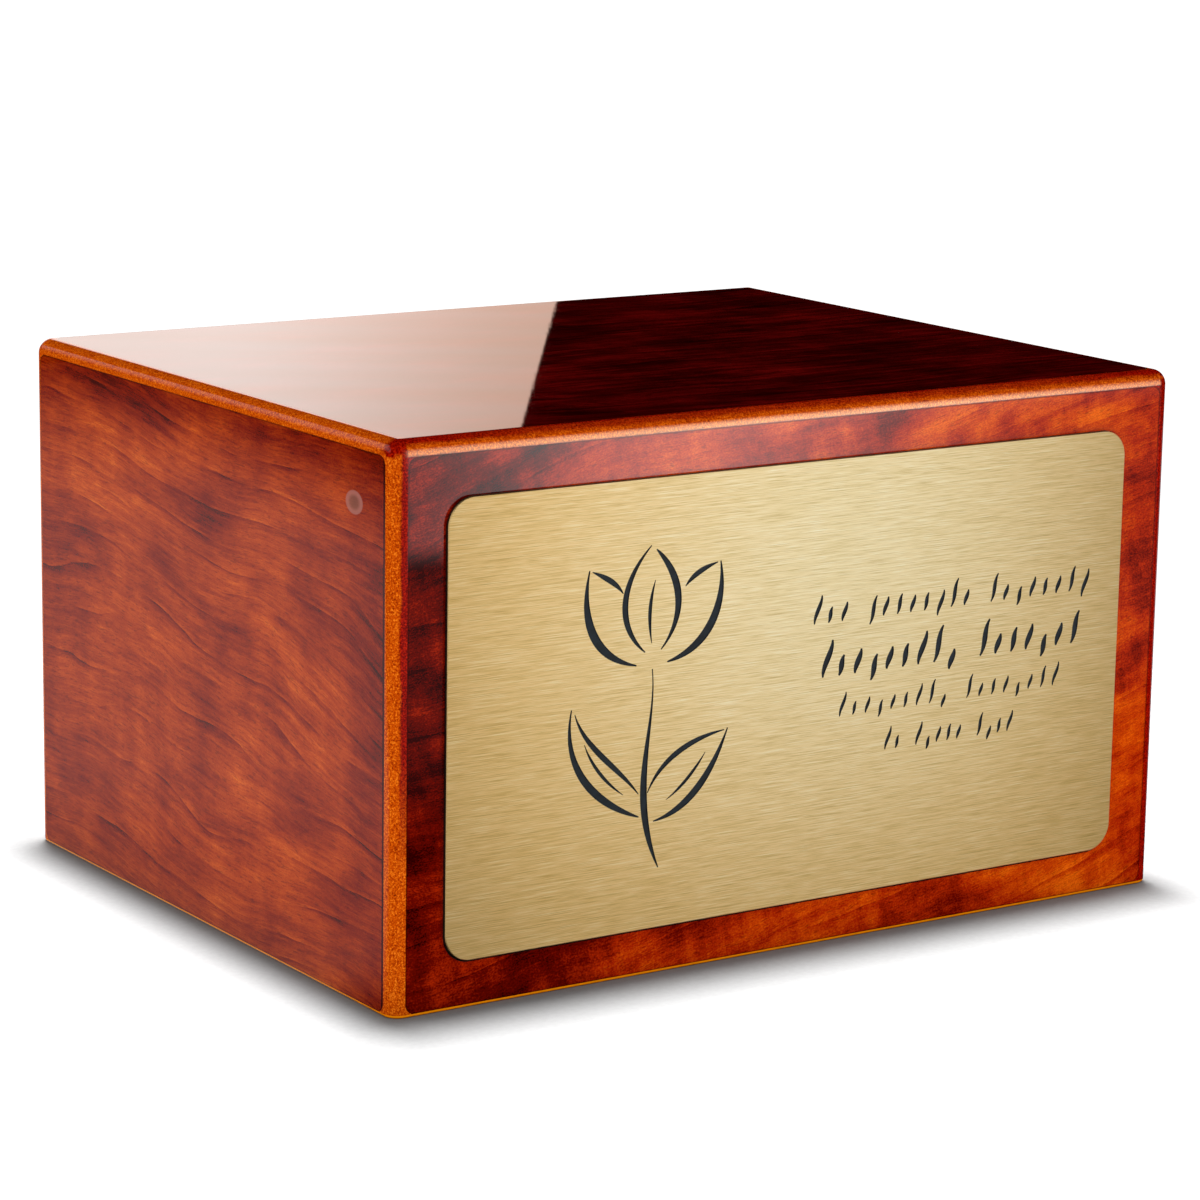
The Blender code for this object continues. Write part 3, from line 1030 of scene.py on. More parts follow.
@dataclass
class UrnCase:
    """The glued case as one hollow shell, its edges rounded after the foil went on.

    Attributes:
        edge_segments: Steps round each top and upright edge.
        foot_segments: Steps round the eased foot.
        lip: The rim round the base.
        rebate: The depth that takes the base.
        clear: How far the cutters stand out below.
        lacquer: The clear coat over everything outside.
        edge: The finish of the rounded edges.
        top_foil: The top's own sheet.
    """

    edge_segments: int = 12
    foot_segments: int = 4
    lip: float = 0.003
    rebate: float = 0.0063
    clear: float = 0.002
    lacquer: Lacquer = field(default_factory=Lacquer)
    edge: StainedEdge = field(default_factory=StainedEdge)
    top_foil: TopFoil = field(default_factory=TopFoil)

    def build(self) -> bpy.types.Object:
        """Models the case, dresses it and hides the five boards that it stands for.

        Returns:
            The case.
        """
        case = self.shell()
        self.hollow(case)
        smooth(case)
        self.dress(case)
        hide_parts("front_panel", "back_panel", "left_panel", "right_panel", "top_panel")
        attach(case, "root")
        return case

    def shell(self) -> bpy.types.Object:
        """Models the outside: a block with round top and upright edges and an eased foot.

        Returns:
            The closed shell.
        """
        half = Vector((CASE_WIDTH / 2, CASE_DEPTH / 2, 0))
        case = add_block("lacquered_case", -half, half + Vector((0, 0, CASE_HEIGHT)))
        with shaping(case, "EDGE"):
            pick(case, "edges", lambda edge: max(vertex.co.z for vertex in edge.verts) > CASE_HEIGHT / 2)
            bevel(EDGE_RADIUS, self.edge_segments)
            bpy.ops.mesh.select_all(action="DESELECT")
            pick(case, "edges", lambda edge: max(vertex.co.z for vertex in edge.verts) < FOOT_RADIUS / 2)
            bevel(FOOT_RADIUS, self.foot_segments)
        return case

    def hollow(self, case: bpy.types.Object) -> None:
        """Opens the underside with a rebate for the base and the chamber above it, and the top with a pocket.

        Args:
            case: The closed shell.
        """
        outer = Vector((CASE_WIDTH / 2 - self.lip, CASE_DEPTH / 2 - self.lip, 0))
        inner = Vector((CASE_WIDTH / 2 - BOARD_THICKNESS, CASE_DEPTH / 2 - BOARD_THICKNESS, 0))
        for reach, top in ((outer, self.rebate), (inner, CASE_HEIGHT - BOARD_THICKNESS)):
            cutter = add_block("opening", -reach - Vector((0, 0, self.clear)), reach + Vector((0, 0, top)))
            cut(case, cutter)
        cut(case, self.top_foil.pocket())

    def foils(self) -> dict[Side, CherryFoil]:
        """Says how the foil is laid on each flat.

        Returns:
            Each flat's finish.
        """
        orange = ("3A0501", "721503", "942E04", "B0420A", "D26416")
        deep = ("2A0000", "640800", "A02203", "C04004", "DE620A")
        dark = ("0E0000", "220000", "420101", "660505", "860E08")
        return {
            Side.LEFT: CherryFoil(
                name="cherry_foil_left",
                along=(0, -1, -0.09),
                across=(0, -0.09, 1),
                start=(310.0, 90.0, 40.0),
                tones=orange,
                flame=1.0,
                flame_size=(30.0, 13.0),
                streaks=0.52,
                fibre=0.40,
                veins=0.30,
                fades=(
                    Fade(2, 0.106, 0.123, -0.20),
                    Fade(1, -0.060, -0.083, -0.12),
                    Fade(1, -0.0817, -0.0826, -0.9),
                ),
                dot=PaleDot(),
            ),
            Side.FRONT: CherryFoil(
                name="cherry_foil_front",
                along=(1, 0, 0.22),
                across=(-0.22, 0, 1),
                start=(120.0, 610.0, 15.0),
                tones=deep,
                flame=1.15,
                flame_size=(20.0, 11.0),
                streaks=0.32,
                fibre=0.20,
                curl=0.30,
                curl_size=(3.2, 12.0),
                speckle=0.50,
                veins=0.14,
                fades=(
                    Fade(0, -0.010, -0.104, -0.35),
                    Fade(2, 0.100, 0.118, 0.07),
                    Fade(0, 0.03, 0.08, 0.10),
                    Fade(0, 0.092, 0.102, -0.14),
                ),
            ),
            Side.RIGHT: CherryFoil(
                name="cherry_foil_right",
                along=(0, 1, -0.05),
                across=(0, 0.05, 1),
                start=(730.0, 260.0, 77.0),
                tones=orange,
                streaks=0.62,
                fibre=0.50,
            ),
            Side.BACK: CherryFoil(
                name="cherry_foil_back",
                along=(-1, 0, 0.04),
                across=(0.04, 0, 1),
                start=(55.0, 480.0, 133.0),
                tones=deep,
                flame=1.0,
            ),
            Side.TOP: CherryFoil(
                name="cherry_foil_top",
                along=(1, 0.02, 0),
                across=(-0.02, 1, 0),
                start=(40.0, 20.0, 900.0),
                tones=dark,
                veins=0.2,
            ),
        }

    def dress(self, case: bpy.types.Object) -> None:
        """Gives each flat its foil, the rounded edges their stained finish with its painted shade, and the
        inside bare board.

        Args:
            case: The case.
        """
        slots = {}
        for side, foil in self.foils().items():
            slots[side] = len(case.data.materials)
            case.data.materials.append(foil.material(self.edge, self.lacquer))
        edge_slot = len(case.data.materials)
        case.data.materials.append(self.edge.material(self.lacquer))
        bare_slot = len(case.data.materials)
        case.data.materials.append(RawFibreboard("bare_fibreboard_inside").material())
        for face in case.data.polygons:
            face.material_index = self.finish_at(face, slots, edge_slot, bare_slot)

    def finish_at(
        self, face: bpy.types.MeshPolygon, slots: dict[Side, int], edge_slot: int, bare_slot: int
    ) -> int:
        """Says which finish a face of the case has.

        Args:
            face: The face.
            slots: The foils' numbers.
            edge_slot: The stained edge's number.
            bare_slot: The bare board's number.

        Returns:
            The finish's number.
        """
        half = Vector((CASE_WIDTH / 2, CASE_DEPTH / 2, CASE_HEIGHT))
        for side, number in slots.items():
            outward = Vector(side.value)
            reach = half.dot(Vector([abs(part) for part in outward]))
            if face.normal.dot(outward) > SQUARE_ON and face.center.dot(outward) > reach - TOUCH:
                return number
        inside_x = abs(face.center.x) < CASE_WIDTH / 2 - self.lip + TOUCH
        inside_y = abs(face.center.y) < CASE_DEPTH / 2 - self.lip + TOUCH
        inside_z = face.center.z < CASE_HEIGHT - BOARD_THICKNESS + TOUCH
        hidden = inside_x and inside_y and inside_z and face.center.z > TOUCH
        return bare_slot if hidden else edge_slot


@dataclass
class BaseBoard:
    """The bare base board and its four screws, which keep their solids and get their finishes."""

    screws: int = 4

    def dress(self) -> None:
        """Gives the board and the screws their materials."""
        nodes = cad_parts
        self.repaint(nodes["bottom_panel"], RawFibreboard().material())
        zinc = ZincPlate().material()
        for number in range(1, self.screws + 1):
            self.repaint(nodes[f"base_screw_{number}"], zinc)

    def repaint(self, node: bpy.types.Object, material: bpy.types.Material) -> None:
        """Puts one material on a whole solid."""
        node.data.materials.clear()
        node.data.materials.append(material)


# The name plate


@dataclass
class NamePlate:
    """The engraved plate: a flower on its left and rows of leaning strokes on its right.

    It is drawn flat, X to the right and Y up, and laid on the front face.

    Attributes:
        thickness: The metal's thickness.
        corner: The radius of its corners.
        corner_segments: Steps round each corner.
        side_margin: What it leaves of the front at each side.
        end_margin: The same above and below.
        shift: How far it is off the front's middle, to the right and up.
        gap: The tape's thickness behind it.
        engraving: The strokes' depth.
        rim: The chamfer round its front.
        tape_shadow_drop: How much lower the tape sits, so that its black edge shows under the plate as a
            painted shadow line.
        flower_margin: What the flower leaves of the plate above and below.
        flower_from_left: Where the flower's foot is from the plate's left.
        flower_tip: Its strokes' width at their tips, as a share of their greatest.
        flower_steps: Steps along each of its strokes.
        rows_from_left: Where the rows begin.
        rows_from_right: What they leave on the right.
        rows_lift: How far their middle is above the plate's.
        row_space: The space between two rows.
        row_steps: Steps along each of their strokes.
        stroke_heights: The strokes' heights in turn, as shares of the row's.
        stroke_lean: How far a stroke leans for its height.
        stroke_bow: How far it bows for its height.
        stroke_tip: Its width at its tips, as a share of its greatest.
        stroke_drop: How far some strokes hang below the line, as a share of the row's height.
        dropped_every: How many strokes go by from one such stroke to the next.
        flower: For each stroke two ends and two handles in shares of the flower's height, its width in metres
            and the place along it where it is heaviest.
        rows: Each row's height and its strokes' width, its share of the longest row, and its groups' strokes.
    """

    thickness: float = 0.0008
    corner: float = 0.0065
    corner_segments: int = 24
    side_margin: float = 0.0138
    end_margin: float = 0.01205
    shift: tuple[float, float] = (-0.0009, -0.00095)
    gap: float = 0.0003
    engraving: float = 0.00025
    rim: float = 0.00018
    tape_shadow_drop: float = 0.00048
    flower_margin: float = 0.014
    flower_from_left: float = 0.0515
    flower_tip: float = 0.16
    flower_steps: int = 26
    rows_from_left: float = 0.0976
    rows_from_right: float = 0.0118
    rows_lift: float = 0.001
    row_space: float = 0.0041
    row_steps: int = 10
    stroke_heights: tuple[float, ...] = (1.0, 0.62, 0.70, 0.55, 0.90, 0.60, 0.66)
    stroke_lean: float = 0.30
    stroke_bow: float = 0.12
    stroke_tip: float = 0.30
    stroke_drop: float = 0.25
    dropped_every: int = 5
    flower: tuple = (
        ((-0.005, 0.665), (-0.115, 0.755), (-0.095, 0.885), (0.012, 0.985), 0.00159, 0.45),
        ((0.030, 0.972), (0.128, 0.880), (0.140, 0.760), (0.052, 0.668), 0.00186, 0.40),
        ((0.018, 0.690), (0.004, 0.760), (0.008, 0.820), (0.028, 0.880), 0.00097, 0.50),
        ((-0.205, 0.930), (-0.235, 0.800), (-0.200, 0.665), (-0.035, 0.628), 0.00214, 0.55),
        ((-0.195, 0.925), (-0.150, 0.905), (-0.110, 0.885), (-0.086, 0.850), 0.00131, 0.50),
        ((0.075, 0.628), (0.230, 0.655), (0.285, 0.790), (0.262, 0.915), 0.00214, 0.45),
        ((0.252, 0.912), (0.200, 0.900), (0.160, 0.880), (0.136, 0.850), 0.00131, 0.50),
        ((0.022, 0.612), (0.045, 0.430), (-0.065, 0.250), (0.055, 0.000), 0.00186, 0.70),
        ((-0.018, 0.165), (-0.155, 0.215), (-0.300, 0.330), (-0.262, 0.520), 0.00186, 0.45),
        ((-0.250, 0.505), (-0.215, 0.395), (-0.095, 0.330), (-0.020, 0.235), 0.00138, 0.50),
        ((-0.075, 0.240), (-0.140, 0.285), (-0.190, 0.345), (-0.215, 0.410), 0.00083, 0.50),
        ((0.035, 0.145), (0.150, 0.160), (0.240, 0.250), (0.300, 0.400), 0.00186, 0.50),
        ((0.288, 0.395), (0.180, 0.385), (0.060, 0.340), (0.012, 0.235), 0.00138, 0.50),
        ((0.080, 0.205), (0.135, 0.235), (0.185, 0.285), (0.220, 0.335), 0.00083, 0.50),
    )
    rows: tuple = (
        (0.0066, 0.00112, 1.00, (3, 8, 8)),
        (0.0086, 0.00155, 0.93, (9, 7)),
        (0.0056, 0.00092, 0.80, (9, 8)),
        (0.0054, 0.00092, 0.46, (2, 5, 4)),
    )

    @property
    def width(self) -> float:
        """The plate's width."""
        return CASE_WIDTH - 2 * self.side_margin

    @property
    def height(self) -> float:
        """The plate's height."""
        return CASE_HEIGHT - 2 * self.end_margin

    @property
    def back(self) -> float:
        """Where its back face lies on Y."""
        return -CASE_DEPTH / 2 - self.gap

    def build(self) -> bpy.types.Object:
        """Models the plate, engraves and dresses it.

        Returns:
            The plate.
        """
        plate = self.blank()
        cut(plate, self.engraver(), own_overlaps=True)
        self.dress(plate)
        self.join_tape(plate)
        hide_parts("name_plaque")
        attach(plate, "root")
        return plate

    def blank(self) -> bpy.types.Object:
        """Models the plain plate, with round corners and a fine chamfer round its front.

        Returns:
            The plate without its engraving.
        """
        front = self.back - self.thickness
        middle = Vector((self.shift[0], 0, CASE_HEIGHT / 2 + self.shift[1]))
        half = Vector((self.width / 2, 0, self.height / 2))
        low = middle - half + Vector((0, front, 0))
        high = middle + half + Vector((0, self.back, 0))
        plate = add_block("name_plate", low, high)
        with shaping(plate, "EDGE"):
            through = self.thickness / 2
            pick(plate, "edges", lambda edge: abs(edge.verts[0].co.y - edge.verts[1].co.y) > through)
            bevel(self.corner, self.corner_segments)
            bpy.ops.mesh.select_all(action="DESELECT")
            pick(plate, "edges", lambda edge: max(vertex.co.y for vertex in edge.verts) < front + TOUCH)
            bevel(self.rim)
        return plate

    def engraver(self) -> bpy.types.Object:
        """Models every stroke as an upright prism, lays them on the plate's face and joins them.

        Returns:
            The cutter.
        """
        outlines = self.flower_outlines() + self.row_outlines()
        strokes = [self.stroke_prism(outline) for outline in outlines]
        deselect()
        for stroke in strokes:
            stroke.select_set(True)
        bpy.context.view_layer.objects.active = strokes[0]
        bpy.ops.object.join()
        tool = bpy.context.object
        tool.name = "engraver"
        tool.rotation_euler = (math.pi / 2, 0, 0)
        tool.location = (self.shift[0], self.back, CASE_HEIGHT / 2 + self.shift[1])
        bpy.ops.object.transform_apply(location=True, rotation=True, scale=True)
        return tool

    def stroke_prism(self, outline: list[Vector]) -> bpy.types.Object:
        """Models one stroke: a filled circle drawn out to the outline and pulled up through the face.

        Args:
            outline: The stroke's points, in order round it.

        Returns:
            The stroke's prism.
        """
        deselect()
        bpy.ops.mesh.primitive_circle_add(vertices=len(outline), radius=self.corner, fill_type="NGON")
        stroke = bpy.context.object
        for vertex, point in zip(stroke.data.vertices, outline):
            vertex.co = (point.x, point.y, self.thickness - self.engraving)
        with shaping(stroke, "FACE"):
            bpy.ops.mesh.select_all(action="SELECT")
            bpy.ops.mesh.extrude_region_move(TRANSFORM_OT_translate={"value": (0, 0, 2 * self.engraving)})
            bpy.ops.mesh.select_all(action="SELECT")
            bpy.ops.mesh.normals_make_consistent(inside=False)
        return stroke

    def brush_stroke(
        self, handles: list[Vector], width: float, heaviest: float, tip: float, segments: int
    ) -> list[Vector]:
        """The outline of a stroke along a curve, which swells to its width and thins towards its tips.

        Args:
            handles: The curve's start, its two handles and its end.
            width: The stroke's greatest width.
            heaviest: Where along it that lies, from 0 to 1.
            tip: Its tips' width as a share of the greatest.
            segments: Steps along it.

        Returns:
            The outline's points, in order round it.
        """
        spine = interpolate_bezier(*handles, segments + 1)
        power = math.log(0.5) / math.log(heaviest)
        left, right = [], []
        for step, point in enumerate(spine):
            ahead = spine[min(step + 1, segments)] - spine[max(step - 1, 0)]
            swell = tip + (1 - tip) * math.sin(math.pi * (step / segments) ** power)
            side = Vector((-ahead.y, ahead.x)).normalized() * width * swell / 2
            left.append(point + side)
            right.append(point - side)
        return right + left[::-1]

    def flower_outlines(self) -> list[list[Vector]]:
        """Draws the strokes of a flower with two leaves.

        Returns:
            Each stroke's outline.
        """
        tall = self.height - 2 * self.flower_margin
        foot = Vector((self.flower_from_left - self.width / 2, self.flower_margin - self.height / 2))
        outlines = []
        for *handles, width, heaviest in self.flower:
            placed = [foot + Vector(handle) * tall for handle in handles]
            outlines.append(self.brush_stroke(placed, width, heaviest, self.flower_tip, self.flower_steps))
        return outlines

    def row_outlines(self) -> list[list[Vector]]:
        """Draws rows of leaning strokes in groups, centred under each other.

        Returns:
            Each stroke's outline.
        """
        longest = self.width - self.rows_from_left - self.rows_from_right
        centre = (self.rows_from_left - self.rows_from_right) / 2
        tall = sum(row[0] for row in self.rows) + self.row_space * (len(self.rows) - 1)
        foot = self.rows_lift + tall / 2
        outlines = []
        for cap_height, width, share, groups in self.rows:
            foot -= cap_height
            pitch = longest * share / (sum(groups) + len(groups) - 2)
            place = centre - longest * share / 2
            count = 0
            for group, strokes in enumerate(groups):
                for first in range(strokes):
                    shorter = self.stroke_heights[(3 * count + group) % len(self.stroke_heights)]
                    height = cap_height * (shorter if first else 1)
                    outlines.append(self.leaning_stroke(place, foot, height, cap_height, width, count))
                    place += pitch
                    count += 1
                place += pitch
            foot -= self.row_space
        return outlines

    def leaning_stroke(
        self, place: float, foot: float, height: float, cap_height: float, width: float, count: int
    ) -> list[Vector]:
        """One stroke of a row: it leans right, bows one way or the other, and every fifth hangs low.

        Args:
            place: Where its foot is along the row.
            foot: The row's foot line.
            height: The stroke's height.
            cap_height: The row's height.
            width: The stroke's greatest width.
            count: Its number in the row.

        Returns:
            Its outline.
        """
        if count % self.dropped_every == self.dropped_every - 2:
            foot -= self.stroke_drop * cap_height
        bow = self.stroke_bow * height * (1 if count % 2 else -1)
        lean = self.stroke_lean * height
        handles = [
            Vector((place, foot)),
            Vector((place + lean / 3 + bow, foot + height / 3)),
            Vector((place + 2 * lean / 3 - bow, foot + 2 * height / 3)),
            Vector((place + lean, foot + height)),
        ]
        return self.brush_stroke(handles, width, 0.5, self.stroke_tip, self.row_steps)

    def dress(self, plate: bpy.types.Object) -> None:
        """Gives the plate its brushed metal, its cut edge painted dark as shade, and the grooves' fill.

        Args:
            plate: The engraved plate.
        """
        plate.data.materials.clear()
        finishes = (BrushedGold(), EngravingEnamel(), ShearedEdge())
        metal, fill, edge = range(len(finishes))
        for finish in finishes:
            plate.data.materials.append(finish.material())
        front = self.back - self.thickness
        middle = Vector((self.shift[0], 0, CASE_HEIGHT / 2 + self.shift[1]))
        for face in plate.data.polygons:
            off = face.center - middle
            sunk = front + TOUCH < face.center.y < self.back - TOUCH
            at_edge = max(abs(off.x) - self.width / 2, abs(off.z) - self.height / 2) > -self.corner / 2
            on_chamfer = at_edge and abs(face.normal.y) > 0.5
            if on_chamfer or not sunk:
                face.material_index = metal
            else:
                face.material_index = edge if at_edge else fill

    def join_tape(self, plate: bpy.types.Object) -> None:
        """Adds the black mounting tape behind the plate, set a little low so that its edge shows as a painted
        shadow line under the plate.

        Args:
            plate: The plate that takes it.
        """
        low = Vector((-self.width / 2, self.back, -self.height / 2))
        high = Vector((self.width / 2, -CASE_DEPTH / 2, self.height / 2))
        # Painted shadow: the tape sits low so that its black edge shows under the plate as a shadow line
        offset = Vector((self.shift[0], 0, CASE_HEIGHT / 2 + self.shift[1] - self.tape_shadow_drop))
        tape = add_block("mounting_tape", low + offset, high + offset)
        with shaping(tape, "EDGE"):
            pick(tape, "edges", lambda edge: abs(edge.verts[0].co.y - edge.verts[1].co.y) > self.gap / 2)
            bevel(self.corner, self.corner_segments)
        tape.data.materials.append(MountingTape().material())
        deselect()
        tape.select_set(True)
        plate.select_set(True)
        bpy.context.view_layer.objects.active = plate
        bpy.ops.object.join()


# The studio


@dataclass(frozen=True)
class Card:
    """A reflector card that only shows in glossy surfaces; each kind says where it hangs and how it glows."""

    name: str

    def corners(self) -> list[Vector]:
        """Its four corners, in order round it."""
        raise NotImplementedError

    def light(self, tree: Tree, place: Socket) -> dict[str, Socket]:
        """Builds the inputs of its glow from the tree and the place in metres."""
        raise NotImplementedError

    def bell(self, tree: Tree, value: Socket, middle: float, spread: float) -> Socket:
        """A bell curve of a value.

        Args:
            tree: The node tree.
            value: What it follows.
            middle: Where it is one.
            spread: Its standard deviation.

        Returns:
            The curve's height.
        """
        off = wire(tree, "Math", {0: value, 1: 1 / spread, 2: -middle / spread}, operation="MULTIPLY_ADD")
        off = wire(tree, "Math", {0: off, 1: off}, operation="MULTIPLY")
        off = wire(tree, "Math", {0: off, 1: -0.5}, operation="MULTIPLY")
        return wire(tree, "Math", {0: off}, operation="EXPONENT")

    def hang(self) -> bpy.types.Object:
        """Hangs the card.

        Returns:
            The card.
        """
        deselect()
        bpy.ops.mesh.primitive_plane_add(size=1.0)
        card = bpy.context.object
        card.name = self.name
        first, second, third, fourth = self.corners()
        for vertex, corner in zip(card.data.vertices, (first, second, fourth, third)):
            vertex.co = corner
        material, tree = new_material(f"{self.name}_light")
        place = wire(tree, "TexCoord", output="Object")
        glow = wire(tree, "Emission", self.light(tree, place))
        wire(tree, "OutputMaterial", {"Surface": glow})
        material.cycles.emission_sampling = "NONE"
        card.data.materials.append(material)
        card.visible_camera = False
        card.visible_diffuse = False
        card.visible_shadow = False
        card.visible_transmission = False
        card.visible_volume_scatter = False
        return card


@dataclass(frozen=True)
class FrontCard(Card):
    """The card in front and to the right: it hazes the front's lacquer and lines its top edge.

    Attributes:
        y: Where it stands in front.
        sides: Its left and right ends.
        heights: Its foot and its head.
        lower: The lower light's middle, spread and strength.
        upper: The upper light's middle, spread and strength.
        rise: The heights over which the lower light gives way to the upper one.
        head: The heights over which the upper light ends, and its shares there.
        foot: The heights over which both lights begin.
        dim: The heights over which a faint light under them begins, and its strengths there.
    """

    name: str = "front_card"
    y: float = -0.496
    sides: tuple[float, float] = (-0.25, 0.85)
    heights: tuple[float, float] = (-0.105, 0.60)
    lower: Triple = (0.252, 0.072, 3.0)
    upper: Triple = (0.30, 0.16, 11.0)
    rise: tuple[float, float] = (0.030, 0.10)
    head: tuple[float, float, float, float] = (0.16, 0.55, 1.0, 0.0)
    foot: tuple[float, float] = (0.0, 0.012)
    dim: tuple[float, float, float, float] = (-0.100, -0.040, 0.0, 0.13)

    def corners(self) -> list[Vector]:
        """Its four corners, in order round it."""
        (left, right), (low, high) = self.sides, self.heights
        return [Vector((x, self.y, z)) for x, z in ((left, low), (right, low), (right, high), (left, high))]

    def light(self, tree: Tree, place: Socket) -> dict[str, Socket]:
        """Dim at its foot, soft and narrow in its middle, wide, strong and warmer above.

        Args:
            tree: The node tree.
            place: The point in metres.

        Returns:
            The glow's inputs.
        """
        x, _, z = wire(tree, "SeparateXYZ", {0: place}).node.outputs
        levels = []
        for middle, spread, strength in (self.lower, self.upper):
            levels.append(chain(tree, "MULTIPLY", self.bell(tree, x, middle, spread), strength))
        raised = wire(tree, "MapRange", between(z, *self.rise), **SOFT)
        level = wire(tree, "Mix", {0: raised, 2: levels[0], 3: levels[1]})
        for span in (self.head, self.foot):
            level = chain(tree, "MULTIPLY", level, wire(tree, "MapRange", between(z, *span), **SOFT))
        dim = wire(tree, "MapRange", between(z, *self.dim), **SOFT)
        warmth = {"Factor": raised, MIX_A: linear("FFFFFF"), MIX_B: linear("FFEBC4")}
        return {"Strength": chain(tree, "ADD", level, dim), "Color": wire(tree, "Mix", warmth, **BLEND)}


@dataclass(frozen=True)
class BackCard(Card):
    """The bright card behind, whose slanted right edge draws the line across the mirror of the top.

    Attributes:
        ahead: The level direction from the box to it.
        distance: How far off it hangs that way.
        left: Where it ends on the left, seen from the box.
        heights: Its foot and its head.
        edge_place: Where its light ends on the right, at edge_height.
        edge_height: The height of that point.
        edge_slope: How far the edge moves aside for each metre up.
        overlap: How far the card goes on past its light.
        fray: How torn the edge is.
        fray_step: The height of one tear.
        edge_soft: Half the width over which the light ends.
        streak_step: The height of one streak of colour.
        streak: How much the streaks differ.
        warm: The places over which it turns from pale on the left to warm on the right.
        level: The places over which it dims, and its strengths there.
    """

    name: str = "back_card"
    ahead: Triple = (0.556, 0.831, 0.0)
    distance: float = 1.0
    left: float = -0.75
    heights: tuple[float, float] = (0.16, 0.50)
    edge_place: float = -0.0218
    edge_height: float = 0.2491
    edge_slope: float = -0.264
    overlap: float = 0.004
    fray: float = 0.0036
    fray_step: float = 0.0009
    edge_soft: float = 0.0004
    streak_step: float = 0.007
    streak: float = 0.6
    warm: tuple[float, float] = (-0.21, 0.0)
    level: tuple[float, float, float, float] = (-0.20, 0.0, 1.88, 1.25)

    @property
    def aside(self) -> Vector:
        """The level direction to the right along the card."""
        ahead = Vector(self.ahead).normalized()
        return Vector((ahead.y, -ahead.x, 0))

    def corners(self) -> list[Vector]:
        """Places its four corners in order round it, the right ones a little past its light.

        Returns:
            The corners.
        """
        low, high = self.heights
        lowest, highest = (
            self.edge_place + self.edge_slope * (z - self.edge_height) + self.overlap for z in self.heights
        )
        middle = Vector(self.ahead).normalized() * self.distance
        points = ((self.left, low), (lowest, low), (highest, high), (self.left, high))
        return [middle + self.aside * along + Vector((0, 0, z)) for along, z in points]

    def light(self, tree: Tree, place: Socket) -> dict[str, Socket]:
        """Brighter and paler towards the left, with a frayed end on the right.

        Args:
            tree: The node tree.
            place: The point in metres.

        Returns:
            The glow's inputs.
        """
        along = wire(tree, "VectorMath", {0: place, 1: self.aside}, output="Value", operation="DOT_PRODUCT")
        height = wire(tree, "SeparateXYZ", {0: place}).node.outputs[2]
        tears, streaks = (
            wire(tree, "TexNoise", {"W": height, "Scale": 1 / step, "Detail": detail}, noise_dimensions="1D")
            for step, detail in ((self.fray_step, 2.0), (self.streak_step, 3.0))
        )
        straight = {0: height, 1: self.edge_slope, 2: self.edge_place - self.edge_slope * self.edge_height}
        end = wire(tree, "Math", straight, operation="MULTIPLY_ADD")
        end = wire(tree, "Math", {0: tears, 1: self.fray, 2: end}, operation="MULTIPLY_ADD")
        past = chain(tree, "SUBTRACT", along, end)
        past = chain(tree, "ADD", past, self.fray / 2)
        within = wire(tree, "MapRange", between(past, self.edge_soft, -self.edge_soft), **SOFT)
        share = wire(tree, "MapRange", between(along, *self.warm), **SOFT)
        faint = {0: streaks, 1: self.streak, 2: -self.streak / 2}
        streaks = wire(tree, "Math", faint, operation="MULTIPLY_ADD")
        share = wire(tree, "Math", {0: share, 1: streaks}, operation="ADD", use_clamp=True)
        warmth = {"Factor": share, MIX_A: linear("FFECE4"), MIX_B: linear("FFD5BF")}
        level = wire(tree, "MapRange", between(along, *self.level), **SOFT)
        strength = chain(tree, "MULTIPLY", level, within)
        return {"Strength": strength, "Color": wire(tree, "Mix", warmth, **BLEND)}


@dataclass(frozen=True)
class TableCard(Card):
    """The pale table top as gloss sees it, to the left and behind; in front it stays dark.

    Attributes:
        reach: How far it goes to each side and behind.
        height: How high it lies.
        oval: How much each way counts towards the pool's rim.
        pool: The distances over which the pool ends, and its shares there.
        side_way: The direction in which it gets brighter.
        side: The places over which it does, and its strengths there.
        near: The distances over which the box's own shade ends, and the shares there.
        front_soft: How far behind the box's front it is full.
    """

    name: str = "table_card"
    reach: float = 0.80
    height: float = 0.0002
    oval: Triple = (1.45, 1.75, 0.0)
    pool: tuple[float, float, float, float] = (0.80, 1.70, 1.0, 0.0)
    side_way: Triple = (0.493, 0.09, 0.0)
    side: tuple[float, float, float, float] = (-0.186, -0.138, 0.0, 0.40)
    near: tuple[float, float, float, float] = (0.16, 0.36, 0.65, 1.0)
    front_soft: float = 0.05

    def corners(self) -> list[Vector]:
        """Places its four corners in order round it.

        Returns:
            The corners.
        """
        reach, front = self.reach, -CASE_DEPTH / 2
        ends = ((-reach, front), (reach, front), (reach, reach), (-reach, reach))
        return [Vector((x, y, self.height)) for x, y in ends]

    def light(self, tree: Tree, place: Socket) -> dict[str, Socket]:
        """A wide pool of light with soft ends.

        Args:
            tree: The node tree.
            place: The point in metres.

        Returns:
            The glow's inputs.
        """
        flat = wire(tree, "VectorMath", {0: place, 1: self.oval}, operation="MULTIPLY")
        radius = wire(tree, "VectorMath", {0: flat}, output="Value", operation="LENGTH")
        sideways = {0: place, 1: self.side_way}
        aside = wire(tree, "VectorMath", sideways, output="Value", operation="DOT_PRODUCT")
        y = wire(tree, "SeparateXYZ", {0: place}).node.outputs[1]
        front = -CASE_DEPTH / 2
        spans = (
            (radius, *self.pool),
            (aside, *self.side),
            (radius, *self.near),
            (y, front, front + self.front_soft),
        )
        shares = [wire(tree, "MapRange", between(*span), **SOFT) for span in spans]
        return {"Strength": chain(tree, "MULTIPLY", *shares)}


